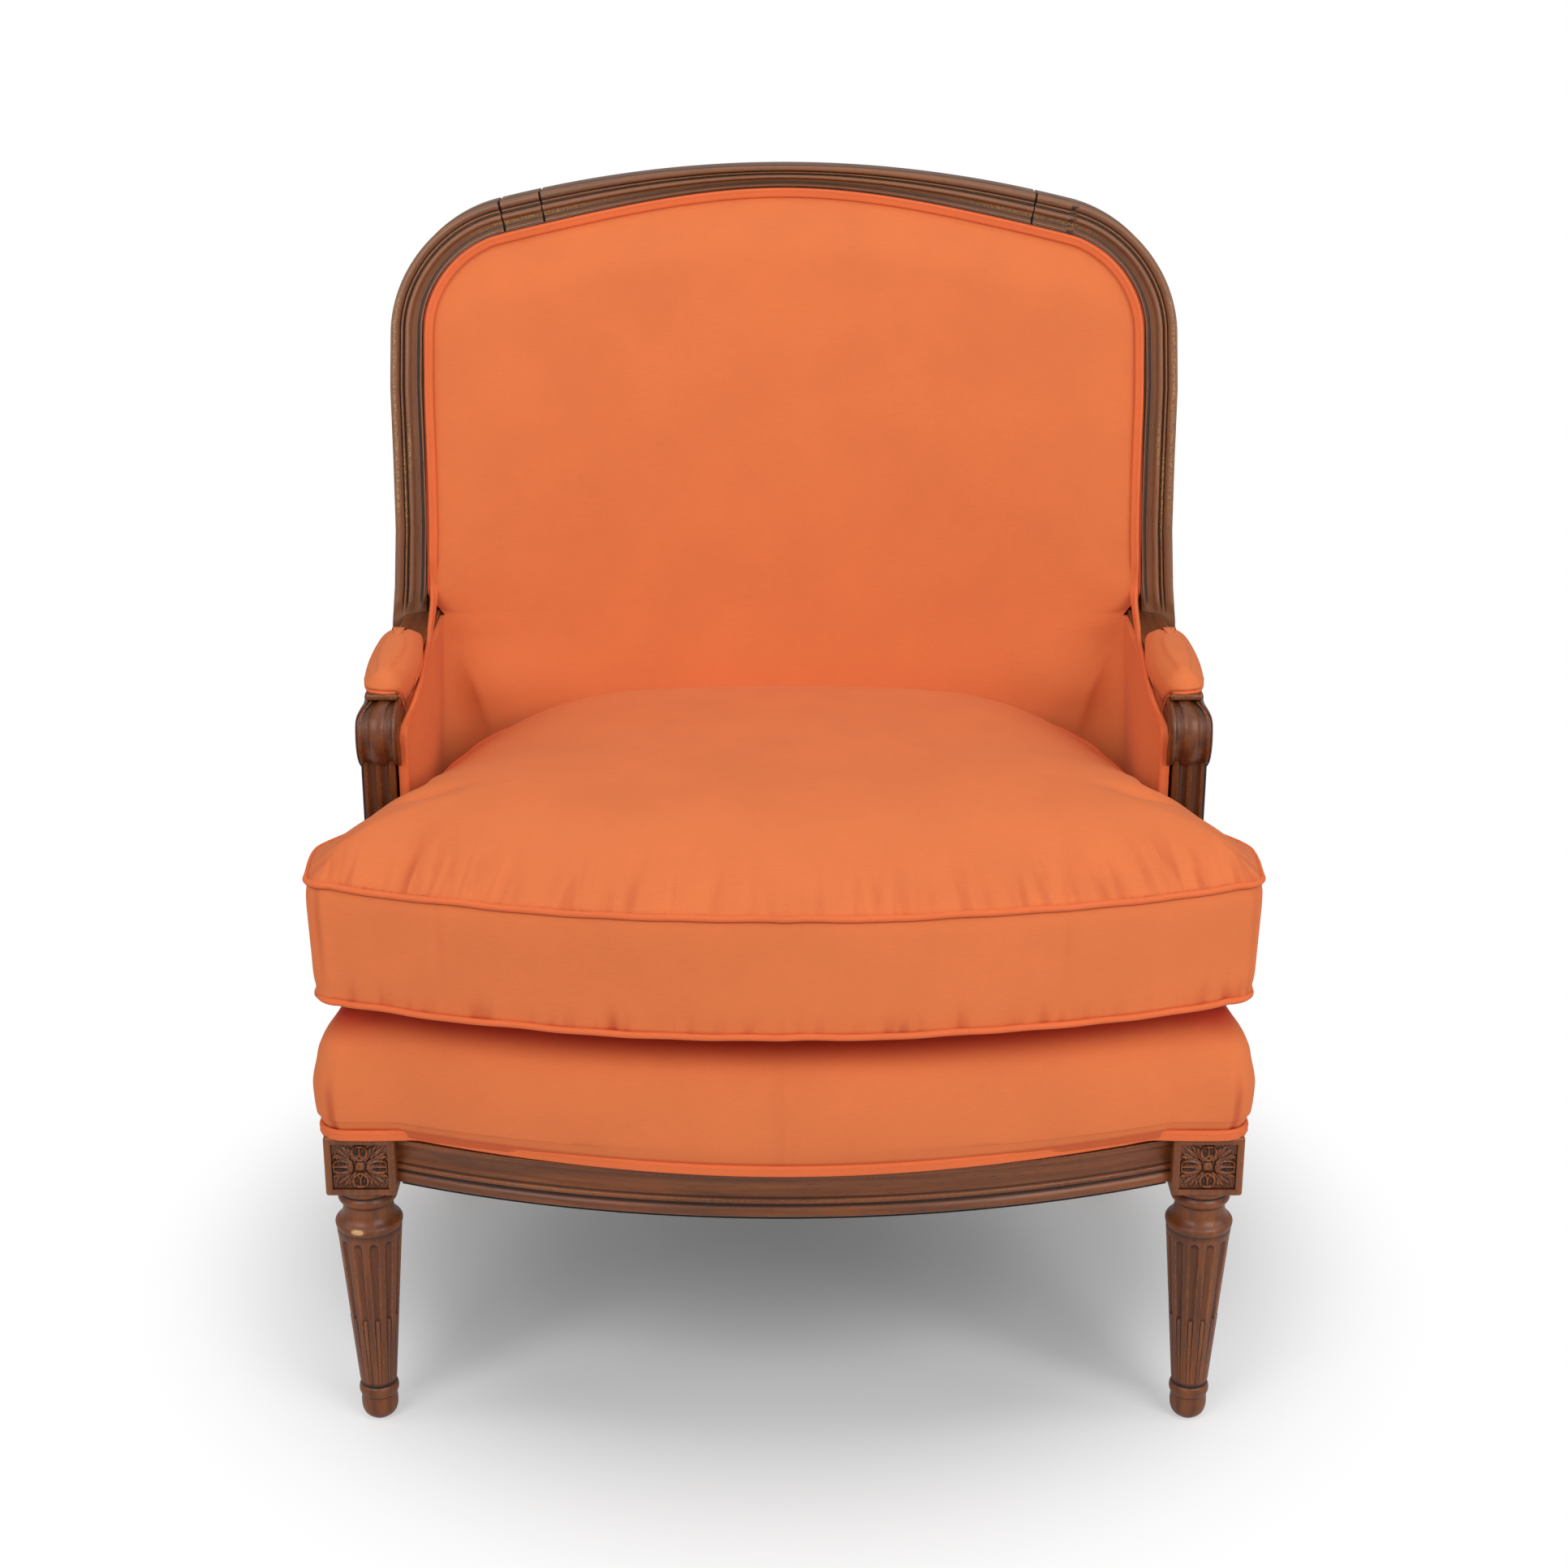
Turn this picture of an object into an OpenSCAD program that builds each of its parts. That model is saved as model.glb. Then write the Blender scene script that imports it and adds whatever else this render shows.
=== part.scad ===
// Bergere chair with a gondola back, a sprung tight seat and a loose seat cushion.
// Z is up, the chair faces -Y, and left is -X, as a person in front of it sees it.
// Y values are counted from the plane through the front leg axes, and place() then centres the chair.

/* [Seat frame] */
// Width across the outer faces of the front leg blocks
frame_w = 720; // [712:1:726]
// Side of the square front leg blocks
block_w = 56; // [54:1:58]
// Side of the square rear leg blocks
rear_block_w = 50; // [48:1:52]
// Height of the underside of the leg blocks
block_low_z = 217; // [214:1:220]
// Height of the underside of the seat rails
rail_low_z = 223; // [222:1:226]
// Height of the top of the seat frame
seat_frame_z = 266; // [264:1:268]
// How far the front rail bows forward between its ends
front_bow = 58; // [54:1:60]
// How far the rear rail bows backward between its ends
rear_bow = 68; // [64:1:70]
// Distance from the front leg axes to the rear leg blocks' centres
rear_block_y = 335; // [333:1:337]
// How far the rear feet stand behind the front feet
rear_foot_y = 410; // [400:1:416]

/* [Legs] */
// Radius of the front leg at the rim of its shoulder
leg_rim_r = 26.8; // [25:0.1:27]
// Radius of the front leg's shaft just above the foot collar
leg_low_r = 14.4; // [14:0.1:15]
// Number of flutes round the front leg
flutes = 12; // [10:1:12]

/* [Back] */
// Height of the top of the crest at the middle
crest_z = 948; // [944:1:950]
// Half of the width across the stiles
stile_x = 345.5; // [344.5:0.5:346.5]
// Width of the frame moulding on the stiles
moulding_w = 27; // [26:0.5:28]
// Thickness of the back frame from front to rear
frame_t = 32; // [30:1:34]
// Radius of the gondola back in plan
gondola_r = 687; // [680:1:695]
// Backward lean of the back, in mm for each mm of height
rake = 0.23; // [0.22:0.01:0.24]

/* [Arms] */
// Height of the underside of the arm rails
arm_low_z = 550; // [549:1:551]
// Height of the top of the arm rails
arm_top_z = 575; // [574:1:577]
// Height of the crown of the arm pads
pad_top_z = 601; // [596:1:604]

/* [Upholstery] */
// Height of the top of the sprung seat
deck_z = 380; // [378:1:381]
// Half of the width of the sprung seat at the front
deck_half_w = 364; // [362:1:365]
// Half of the width of the loose cushion at its front corners
cushion_half_w = 364; // [360:1:366]
// Height of the cushion's upper welt
cushion_welt_z = 478; // [474:1:480]
// Height of the cushion's crown
cushion_crown_z = 532; // [528:1:534]
// Diameter of the piping cord
welt_d = 4.6; // [4:0.1:5]
// Thickness of the covering cloth
cloth_t = 1.5; // [1.2:0.1:1.8]

/* [Hidden] */

walnut = [0.38, 0.25, 0.17];
orange_cloth = [0.93, 0.45, 0.24];
orange_welt = [0.92, 0.38, 0.22];
jute = [0.72, 0.60, 0.42];
horsehair = [0.45, 0.38, 0.30];
feather_tick = [0.88, 0.86, 0.80];
steel = [0.62, 0.62, 0.60];
black_cambric = [0.12, 0.12, 0.13];

centre_y = 245.15;
gap = 0.3;
soft_gap = 0.9;
round_fn = 64;
frame_half_w = frame_w / 2;
leg_x = frame_half_w - block_w / 2;
block_in_x = leg_x - block_w / 2;
rail_h = seat_frame_z - rail_low_z;

front_rail_t = 30;
front_rail_end_y = -20;
front_rail_r = (block_in_x ^ 2 + front_bow ^ 2) / (2 * front_bow);
front_rail_cy = front_rail_end_y - front_bow + front_rail_r;

side_rail_t = 36;
side_rail_out_x = frame_half_w - 4;
side_rail_in_x = side_rail_out_x - side_rail_t;

rear_block_x = 322;
rear_block_in_x = rear_block_x - rear_block_w / 2;
rear_rail_t = 28;
rear_rail_end_y = rear_block_y + 11;
rear_rail_r = (rear_block_in_x ^ 2 + rear_bow ^ 2) / (2 * rear_bow);
rear_rail_cy = rear_rail_end_y + rear_bow - rear_rail_r;
rear_foot_x = 305;
rear_foot_r = 13;
rear_leg_top_r = 22;

tenon_t = 12;
tenon_h = 26;
tenon_l = 26;
tenon_z = rail_low_z + 9;

back_z = 570;
back_y = 470;
corner_x = 235.5;
corner_z = 814;
corner_r = stile_x - corner_x;
crest_moulding_w = 18.5;
crest_r = 1275;
crest_lean = 11.5;
splice_inner = [219, 226];
splice_outer = [254, 264];
stile_foot_z = seat_frame_z;

arm_x = 328;
arm_w = 30;
post_x = 325.5;
post_w = 27;
post_front_y = 112;
post_back_y = 152;
scroll_y = 129;
scroll_z = 550;
scroll_r = 29;

inside_arm_x = 309;
inside_front_y = 120;
inside_low_z = 290;
back_bulge = 27;
arm_bulge = 13;

// Moves the chair so that the middle of its box stands on the origin
module place() {
  translate([0, -centre_y, 0]) children();
}

// Mirrors a left piece to the right when side is 1
module on_side(side) {
  mirror([side > 0 ? 1 : 0, 0, 0]) children();
}

function clamp01(t) = min(1, max(0, t));
function smooth(t) = clamp01(t) ^ 2 * (3 - 2 * clamp01(t));
function unit(v) = v / norm(v);

// Closed solid through rings with the same number of points; closed rings loop back to the first
module skin(rings, looped = false) {
  n = len(rings[0]);
  m = len(rings);
  bands = looped ? m : m - 1;
  sides = [for (i = [0:bands - 1], j = [0:n - 1])
    let (a = i * n + j, b = i * n + (j + 1) % n, c = ((i + 1) % m) * n + j, d = ((i + 1) % m) * n + (j + 1) % n)
    each [[a, b, c], [b, d, c]]];
  ends = looped ? [] : [[for (j = [n - 1:-1:0]) j], [for (j = [0:n - 1]) (m - 1) * n + j]];
  polyhedron([for (r = rings) each r], concat(ends, sides));
}

// Closed solid through rings, with a pole point closing each end
module poled_skin(rings, first_pole, last_pole) {
  n = len(rings[0]);
  m = len(rings);
  sides = [for (i = [0:m - 2], j = [0:n - 1])
    let (a = i * n + j, b = i * n + (j + 1) % n, c = (i + 1) * n + j, d = (i + 1) * n + (j + 1) % n)
    each [[a, b, c], [b, d, c]]];
  top = n * m;
  fans = [for (j = [0:n - 1]) each [
    [top, (j + 1) % n, j],
    [top + 1, (m - 1) * n + j, (m - 1) * n + (j + 1) % n]]];
  polyhedron(concat([for (r = rings) each r], [first_pole, last_pole]), concat(sides, fans));
}

// Rings of a tube: outs holds the direction that the section's second axis leans to at each point
function tube_rings(path, outs, section, looped = false) =
  let (n = len(path))
  [for (i = [0:n - 1])
    let (
      before = looped ? path[(i + n - 1) % n] : path[max(0, i - 1)],
      after = looped ? path[(i + 1) % n] : path[min(n - 1, i + 1)],
      along = unit(after - before),
      across = unit(cross(along, outs[i])),
      out = cross(across, along)
    )
    [for (s = section) path[i] + s[0] * across + s[1] * out]];

function round_section(r, n) = [for (k = [0:n - 1]) r * [cos(360 * k / n), sin(360 * k / n)]];
function double_section(w, t) = [
  [-w / 2, 0], [-w / 4, -t / 2], [w / 4, -t / 2], [w / 2, 0], [w / 4, t / 2], [0, t * 0.3], [-w / 4, t / 2]];

// Turned, fluted front leg

// Outline of the turned part from the floor to inside the block, as radius and height
function leg_outline() = [
  [0, 0], [8, 0], [12.6, 3.5], [14.7, 9], [14.9, 16], [14, 21.5], [15.6, 23], [16.2, 26.5], [15.6, 30],
  [leg_low_r, 31.5], [leg_rim_r - 0.8, 177], [leg_rim_r, 179.5], [leg_rim_r, 182.5], [22.6, 186],
  [20.2, 191], [19.7, 198], [21.5, 199.5], [23.6, 202], [23.6, 205], [21.6, 207.5], [21.6, 208.5],
  [24, 210.5], [24.7, 213.5], [24, 216], [22, block_low_z], [22, block_low_z + 2], [0, block_low_z + 2]];

module flute_cutters() {
  lean = atan((leg_rim_r - 0.8 - leg_low_r) / (177 - 31.5));
  top_r = 4.5;
  low_r = 2.6;
  flute_l = 134;
  for (k = [0:flutes - 1])
    rotate([0, 0, 360 * (k + 0.5) / flutes])
      translate([leg_low_r + 1.9, 0, 37])
        rotate([0, lean, 0]) {
          cylinder(h = flute_l - top_r, r1 = low_r, r2 = top_r, $fn = 24);
          translate([0, 0, flute_l - top_r]) sphere(r = top_r, $fn = 24);
        }
}

reed_sink = 2;

module flute_reeds() {
  lean = atan((leg_rim_r - 0.8 - leg_low_r) / (177 - 31.5));
  for (k = [0:flutes - 1])
    rotate([0, 0, 360 * (k + 0.5) / flutes])
      translate([leg_low_r - reed_sink, 0, 34])
        rotate([0, lean, 0]) {
          cylinder(h = 60, r1 = 1.8, r2 = 2.6, $fn = 24);
          translate([0, 0, 60]) sphere(r = 2.6, $fn = 24);
        }
}

module tenon_front() {
  translate([-leg_x, front_rail_end_y + 9, tenon_z]) cube([tenon_l + 4, tenon_t, tenon_h]);
}

module tenon_side_front() {
  translate([-side_rail_out_x + 12, block_w / 2 - tenon_l, tenon_z]) cube([tenon_t, tenon_l + 4, tenon_h]);
}

module front_leg(side) {
  panel_w = 44;
  panel_h = 36;
  panel_d = 2.5;
  place() on_side(side) color(walnut) difference() {
    union() {
      translate([-leg_x, 0, 0]) {
        difference() {
          rotate_extrude($fn = round_fn) polygon(leg_outline());
          flute_cutters();
        }
        flute_reeds();
        difference() {
          translate([-block_w / 2, -block_w / 2, block_low_z])
            cube([block_w, block_w, seat_frame_z - block_low_z]);
          for (turn = [0, -90])
            rotate([0, 0, turn])
              translate([-panel_w / 2, -block_w / 2 - 1, (block_low_z + seat_frame_z - panel_h) / 2])
                cube([panel_w, panel_d + 1, panel_h]);
        }
        for (turn = [0, -90])
          rotate([0, 0, turn])
            translate([0, -block_w / 2 + panel_d + 1, (block_low_z + seat_frame_z) / 2])
              rotate([90, 0, 0]) cylinder(h = panel_d + 1.2, r = 4.2, $fn = 24);
      }
    }
    tenon_front();
    tenon_side_front();
  }
}

module front_leg_left() { front_leg(0); }
module front_leg_right() { front_leg(1); }

// Seat rails

// Moulded outer face of a rail as distance from its outer plane and height above its underside
function rail_face() = [
  [-3, 0], [-0.9, 1], [0, 3], [-0.4, 6], [-2, 8.5], [-3.4, 9.5], [-3.4, 11], [-1.2, 12], [-0.6, 13.8],
  [-1.2, 15.6], [-3.4, 16.6], [-3.4, 18], [-4.6, 22], [-4.2, 29], [-2.8, 32.5], [-1.4, 33.5],
  [-1.4, rail_h - 5.5], [-6, rail_h - 5.5], [-6, rail_h]];

module front_seat_rail() {
  inner_r = front_rail_r - front_rail_t;
  place() color(walnut) difference() {
    union() {
      intersection() {
        translate([0, front_rail_cy, rail_low_z])
          rotate([0, 0, -90 - 24])
            rotate_extrude(angle = 48, $fn = 180)
              polygon(concat(
                [[inner_r, rail_h], [inner_r, 0]],
                [for (p = rail_face()) [front_rail_r + p[0], p[1]]]));
        translate([-block_in_x, -150, 0]) cube([2 * block_in_x, 300, 400]);
      }
      for (side = [0, 1]) on_side(side) tenon_front();
    }
    for (side = [0, 1]) on_side(side) screw_bores();
  }
}

module side_seat_rail(side) {
  front_y = block_w / 2;
  rear_y = rear_block_y - rear_block_w / 2;
  place() on_side(side) color(walnut) difference() {
    union() {
      translate([0, rear_y, rail_low_z])
        rotate([90, 0, 0])
          linear_extrude(rear_y - front_y)
            polygon(concat(
              [[-side_rail_in_x, rail_h], [-side_rail_in_x, 0]],
              [for (p = rail_face()) [-side_rail_out_x - p[0], p[1]]]));
      tenon_side_front();
      tenon_side_rear();
    }
    screw_bores();
    post_tenon();
  }
}

module side_seat_rail_left() { side_seat_rail(0); }
module side_seat_rail_right() { side_seat_rail(1); }

module tenon_side_rear() {
  translate([-side_rail_out_x + 14, rear_block_y - rear_block_w / 2 - 4, tenon_z])
    cube([tenon_t, tenon_l, tenon_h]);
}

module tenon_rear() {
  translate([-rear_block_in_x - tenon_l, rear_rail_end_y - tenon_t / 2, tenon_z])
    cube([tenon_l + 4, tenon_t, tenon_h]);
}

module rear_seat_rail() {
  place() color(walnut) difference() {
    union() {
      intersection() {
        translate([0, rear_rail_cy, rail_low_z])
          rotate([0, 0, 90 - 26])
            rotate_extrude(angle = 52, $fn = 180)
              translate([rear_rail_r - rear_rail_t / 2, 0]) square([rear_rail_t, rail_h]);
        translate([-rear_block_in_x, 0, 0]) cube([2 * rear_block_in_x, 500, 400]);
      }
      for (side = [0, 1]) on_side(side) tenon_rear();
    }
    for (side = [0, 1]) on_side(side) screw_bores();
  }
}

// Screws of the corner blocks: start point at the block's inner face and turn about Z of the +X axis

screw_z = 244;
screw_r = 2.2;
screw_l = 38;
screw_head_r = 4.6;
screws = [[[-228, 8], -90], [[-300, 78], 180], [[-236, 316], 90], [[-300, 262], 180]];

module screw_bores() {
  for (s = screws)
    translate([s[0][0], s[0][1], screw_z])
      rotate([0, 0, s[1]]) rotate([0, 90, 0]) cylinder(h = screw_l, r = screw_r, $fn = 24);
}

module corner_blocks() {
  low_z = rail_low_z + 8;
  high_z = seat_frame_z - 8;
  place() color(walnut) for (side = [0, 1]) on_side(side) difference() {
    union() {
      intersection() {
        translate([0, 0, low_z]) linear_extrude(high_z - low_z)
          polygon([[-205, -60], [-262, -60], [-side_rail_in_x, 62], [-side_rail_in_x, 102]]);
        translate([0, front_rail_cy, 0]) cylinder(h = 400, r = front_rail_r - front_rail_t - gap, $fn = 360);
      }
      intersection() {
        translate([0, 0, low_z]) linear_extrude(high_z - low_z)
          polygon([[-side_rail_in_x, 238], [-side_rail_in_x, 284], [-296.5, 309.5], [-250, 400], [-200, 400]]);
        translate([0, rear_rail_cy, 0]) cylinder(h = 400, r = rear_rail_r - rear_rail_t / 2 - gap, $fn = 360);
      }
    }
    screw_bores();
    for (s = screws)
      translate([s[0][0], s[0][1], screw_z])
        rotate([0, 0, s[1]]) rotate([0, 90, 0])
          translate([0, 0, -60]) cylinder(h = 63, r = screw_head_r + 0.4, $fn = 32);
  }
}

module corner_block_screws() {
  place() color(steel) for (side = [0, 1]) on_side(side)
    for (s = screws)
      translate([s[0][0], s[0][1], screw_z])
        rotate([0, 0, s[1]]) rotate([0, 90, 0]) {
          cylinder(h = screw_l, r = screw_r, $fn = 24);
          translate([0, 0, -1]) difference() {
            cylinder(h = 3, r = screw_head_r, $fn = 32);
            translate([-5, -0.6, -1]) cube([10, 1.2, 2.2]);
          }
        }
}

// Back frame

// Front surface of the back: how far back it lies at each place of the elevation
function gondola_y(x, z) = back_y - (gondola_r - sqrt(gondola_r ^ 2 - x ^ 2)) + rake * (z - back_z);

// Half outline of the frame's outer edge: s runs from the foot of the stile to the middle of the crest
stile_sway = [[262, 0.6], [560, 3], [600, 0], [650, -1.5], [710, -0.5], [770, 1], [corner_z, 0]];
function outline_stile(z) = [stile_x + lookup(z, stile_sway), z];
function outline_corner(a) = [corner_x + corner_r * cos(a), corner_z + corner_r * sin(a)];
function outline_crest(x) = [x, crest_z - crest_r + sqrt(crest_r ^ 2 - x ^ 2)];

// The moulding narrows from the corners to the middle of the crest
function moulding_width(x) =
  moulding_w + (crest_moulding_w - moulding_w) * smooth((corner_x - abs(x)) / corner_x);

// One ring of the frame: the place on the outer edge, the inward direction, and how far the moulding stands up
function frame_ring(at, inward, relief) =
  let (
    width = moulding_width(at[0]),
    face = [
      [0, -frame_t + 3], [0, -2], [0.03, 0.5], [0.11, 2.6], [0.2, 2.6], [0.27, 0.4], [0.31, -1.2], [0.37, 0.4],
      [0.43, -0.8], [0.5, 2.2], [0.6, 3.8], [0.7, 2.8], [0.78, -0.6], [0.88, 0.4], [0.94, 1.6], [1, 0.4],
      [1, -frame_t + 3], [0.85, -frame_t], [0.15, -frame_t]]
  )
  [for (p = face)
    let (
      spot = at + inward * p[0] * width,
      lift = p[1] > -frame_t / 2 ? p[1] * relief : p[1]
    )
    [spot[0], gondola_y(spot[0], spot[1]) - lift, spot[1]]];

function stile_ring(z) = frame_ring(outline_stile(z), [-1, 0], smooth((z - arm_top_z) / 16));
function corner_ring(a) = frame_ring(outline_corner(a), -[cos(a), sin(a)], 1);
function crest_ring(x) = frame_ring(outline_crest(x), -unit([x, sqrt(crest_r ^ 2 - x ^ 2)]), 1);

corner_end = 90 - crest_lean;
corner_end_x = corner_x + corner_r * cos(corner_end);

module stile(side) {
  heights = [stile_foot_z, 400, 558, 574, 580, 586, 600, 625, 650, 710, 770];
  mirrored = side > 0;
  rings = concat(
    [for (z = heights) stile_ring(z)],
    [for (k = [0:9]) corner_ring(corner_end * k / 10)],
    [crest_ring(splice_outer[side])]);
  on_side(mirrored ? 0 : 1) skin(rings);
}

module raked_leg() {
  foot = [-rear_foot_x, rear_foot_y, -9];
  head = [-rear_block_x, rear_block_y + 4, block_low_z + 4];
  axis = foot - head;
  length = norm(axis);
  intersection() {
    translate(head)
      rotate([0, acos(axis[2] / length), atan2(axis[1], axis[0])]) rotate([0, 0, 90]) {
        cylinder(h = length, r1 = rear_leg_top_r, r2 = rear_foot_r, $fn = round_fn);
        translate([0, 0, 8])
          rotate_extrude($fn = round_fn) translate([rear_leg_top_r, 0]) circle(r = 3, $fn = 32);
        translate([0, 0, length - 34])
          rotate_extrude($fn = round_fn) translate([rear_foot_r + 0.6, 0]) circle(r = 3, $fn = 32);
      }
    translate([-500, 0, 0]) cube([500, 600, 400]);
  }
}

module rear_leg_stile(side) {
  place() color(walnut) difference() {
    union() {
      on_side(side) {
        translate([-rear_block_x - rear_block_w / 2, rear_block_y - rear_block_w / 2, block_low_z])
          cube([rear_block_w, rear_block_w, seat_frame_z - block_low_z]);
        raked_leg();
      }
      stile(side);
    }
    on_side(side) {
      tenon_side_rear();
      tenon_rear();
      arm_tenon();
      stay_tenon();
    }
    dowel_bores(side);
  }
}

module rear_leg_stile_left() { rear_leg_stile(0); }
module rear_leg_stile_right() { rear_leg_stile(1); }

module crest_splice(side) {
  inner = splice_inner[side];
  outer = splice_outer[side];
  place() color(walnut) difference() {
    on_side(1 - side) skin([for (k = [0:2]) crest_ring(outer + (inner - outer) * k / 2)]);
    dowel_bores(side);
  }
}

module crest_splice_left() { crest_splice(0); }
module crest_splice_right() { crest_splice(1); }

module crest_rail() {
  steps = 14;
  start = splice_inner[1];
  end = -splice_inner[0];
  place() color(walnut) difference() {
    skin([for (k = [0:steps]) crest_ring(start + (end - start) * k / steps)]);
    for (side = [0, 1]) dowel_bores(side);
  }
}

// Dowels across the two seams of each splice, two to a seam
dowel_r = 3.5;
dowel_l = 24;

module dowels(side) {
  for (x = [splice_inner[side], splice_outer[side]])
    on_side(1 - side) {
      at = outline_crest(x);
      tilt = asin(x / crest_r);
      for (back = [9, 20])
        translate([x - 11 * sin(tilt), gondola_y(x, at[1] - 11) + back, at[1] - 11 * cos(tilt)])
          rotate([0, tilt, 0]) rotate([0, 90, -atan(x / sqrt(gondola_r ^ 2 - x ^ 2))])
            translate([0, 0, -dowel_l / 2]) cylinder(h = dowel_l, r = dowel_r, $fn = 24);
    }
}

module dowel_bores(side) { dowels(side); }

module crest_dowels() {
  place() color(walnut) for (side = [0, 1]) dowels(side);
}

// Stay rail low in the back, to which the webbing and both back covers are fixed
stay_low_z = 286;
stay_high_z = 314;
stay_t = 14;
stay_back = 8;

module stay_tenon() {
  translate([-336, gondola_y(316, 300) + 12, stay_low_z + 6]) cube([24, 8, stay_high_z - stay_low_z - 12]);
}

module back_stay_rail() {
  r = gondola_r;
  end_x = 318;
  cy = gondola_y(0, 300) - gondola_r + stay_back;
  place() color(walnut) union() {
    intersection() {
      translate([0, cy, stay_low_z])
        rotate([0, 0, 90 - 30])
          rotate_extrude(angle = 60, $fn = 180)
            translate([r, 0]) square([stay_t, stay_high_z - stay_low_z]);
      translate([-end_x, 0, 0]) cube([2 * end_x, 600, 400]);
    }
    for (side = [0, 1]) on_side(side) stay_tenon();
  }
}

// Arms

module arm_tenon() {
  translate([-339, 372, arm_low_z + 5]) cube([12, 26, 14]);
}

// Plane of the stile's front face, which the arm rail butts against
module stile_face_cutter() {
  translate([-333, gondola_y(333, arm_top_z) - 0.6, arm_top_z])
    rotate([-atan(rake), 0, 0])
      rotate([0, 0, asin(333 / gondola_r)])
        translate([-80, 0, -120]) cube([160, 120, 240]);
}

module arm_rail(side) {
  flute_z_r = 3.6;
  place() on_side(side) color(walnut) difference() {
    union() {
      difference() {
        union() {
          translate([-arm_x - arm_w / 2, scroll_y, arm_low_z]) cube([arm_w, 290, arm_top_z - arm_low_z]);
          translate([-arm_x - arm_w / 2 - 1, scroll_y, scroll_z])
            rotate([0, 90, 0]) cylinder(h = arm_w + 2, r = scroll_r, $fn = round_fn);
          translate([-arm_x - arm_w / 2 - 1, scroll_y, scroll_z - 12])
            cube([arm_w + 2, 27, 12 + arm_top_z - scroll_z + 6]);
        }
        stile_face_cutter();
      }
      arm_tenon();
    }
    for (x = [-arm_x - 5.6, -arm_x + 5.6])
      translate([x, scroll_y, scroll_z])
        rotate([0, 90, 0])
          rotate_extrude($fn = round_fn)
            translate([scroll_r + 0.8, 0]) circle(r = flute_z_r, $fn = 24);
    post_head_tenon();
  }
}

module arm_rail_left() { arm_rail(0); }
module arm_rail_right() { arm_rail(1); }

module post_tenon() {
  translate([-332, 122, seat_frame_z - 18]) cube([11, 20, 22]);
}

module post_head_tenon() {
  translate([-331, 122, scroll_z - 33]) cube([11, 18, 29]);
}

module arm_post(side) {
  place() on_side(side) color(walnut) difference() {
    union() {
      difference() {
        translate([-post_x - post_w / 2, post_front_y, seat_frame_z])
          cube([post_w, post_back_y - post_front_y, scroll_z - 10 - seat_frame_z]);
        translate([-post_x - 40, scroll_y, scroll_z])
          rotate([0, 90, 0]) cylinder(h = 80, r = scroll_r, $fn = round_fn);
        translate([-post_x - 40, scroll_y, scroll_z - 12]) cube([80, 60, 60]);
        translate([-post_x - 40, 0, scroll_z - 12]) cube([80, 200, 60]);
      }
      post_tenon();
      post_head_tenon();
    }
    for (x = [-post_x - 5.2, -post_x + 5.2])
      translate([x, post_front_y - 1.2, seat_frame_z + 14])
        cylinder(h = 400, r = 3.9, $fn = 24);
  }
}

module arm_post_left() { arm_post(0); }
module arm_post_right() { arm_post(1); }

// Plan of the inside wall: p runs from -1 at the left post to 1 at the right post, o is the stuffing's depth

wall_corner_r = [[290, 72], [470, 60], [530, 26], [556, 5]];

function wall_point(p, z, o) =
  let (
    q = abs(p),
    side = p < 0 ? -1 : 1,
    r = max(lookup(z, wall_corner_r) - o, 3),
    big_r = gondola_r - o,
    cy = gondola_y(0, z) - gondola_r,
    corner_cx = inside_arm_x - o - r,
    corner_cy = cy + sqrt((big_r - r) ^ 2 - corner_cx ^ 2),
    turn = acos(corner_cx / (big_r - r)),
    at = q <= 0.5
      ? let (a = 90 - (90 - turn) * q / 0.5) [big_r * cos(a), cy + big_r * sin(a)]
      : q <= 0.72
        ? let (a = turn * (1 - (q - 0.5) / 0.22)) [corner_cx + r * cos(a), corner_cy + r * sin(a)]
        : [corner_cx + r, corner_cy + (inside_front_y - corner_cy) * (q - 0.72) / 0.28]
  )
  [side * at[0], at[1], z];

// Height of the frame's inner edge over each half width of the back
function inner_edge_z(x) =
  let (
    r_in = corner_r - moulding_w,
    outer_x = x * (1 + moulding_width(x) / crest_r),
    width = moulding_width(outer_x)
  )
  x < corner_x + r_in * cos(corner_end)
    ? outline_crest(outer_x)[1] - width * sqrt(1 - (outer_x / crest_r) ^ 2)
    : corner_z + sqrt(max(0, r_in ^ 2 - (x - corner_x) ^ 2));

back_edge_x = stile_x - moulding_w - 2.5;

function back_point(f, z, o) =
  let (
    low = wall_point(0.5 * f, min(z, 556), o),
    up_x = f * (back_edge_x - o * 0.3),
    up = [up_x, gondola_y(up_x, z) - o, z],
    t = smooth((z - 552) / 46)
  )
  [low[0] * (1 - t) + up[0] * t, (low[1] + rake * max(0, z - 556)) * (1 - t) + up[1] * t, z];

// Depth of stuffing over the back and over the arms, less near the frame
function back_depth(f, z) =
  let (
    top = inner_edge_z(abs(f) * back_edge_x),
    side = 1 - smooth((z - 530) / 70) * abs(f) ^ 5,
    head = 1 - smooth((z - top + 70) / 70) ^ 2,
    foot = smooth((z - 300) / 140) * 0.7 + 0.3
  )
  back_bulge * side * head * foot;

function arm_depth(p, z) =
  let (
    front = 1 - smooth((abs(p) - 0.86) / 0.14),
    head = 1 - smooth((z - 490) / 58) * 0.9,
    foot = smooth((z - 300) / 120)
  )
  arm_bulge * front * head * foot;

function wall_depth(p, z) =
  let (t = smooth((abs(p) - 0.44) / 0.26))
  back_depth(min(1, max(-1, p / 0.5)), z) * (1 - t) + arm_depth(p, z) * t;

back_cols = 18;
arm_cols = 6;
low_zs = [inside_low_z, 340, 390, 440, 490, 526, 547];
upper_rows = 9;

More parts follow.
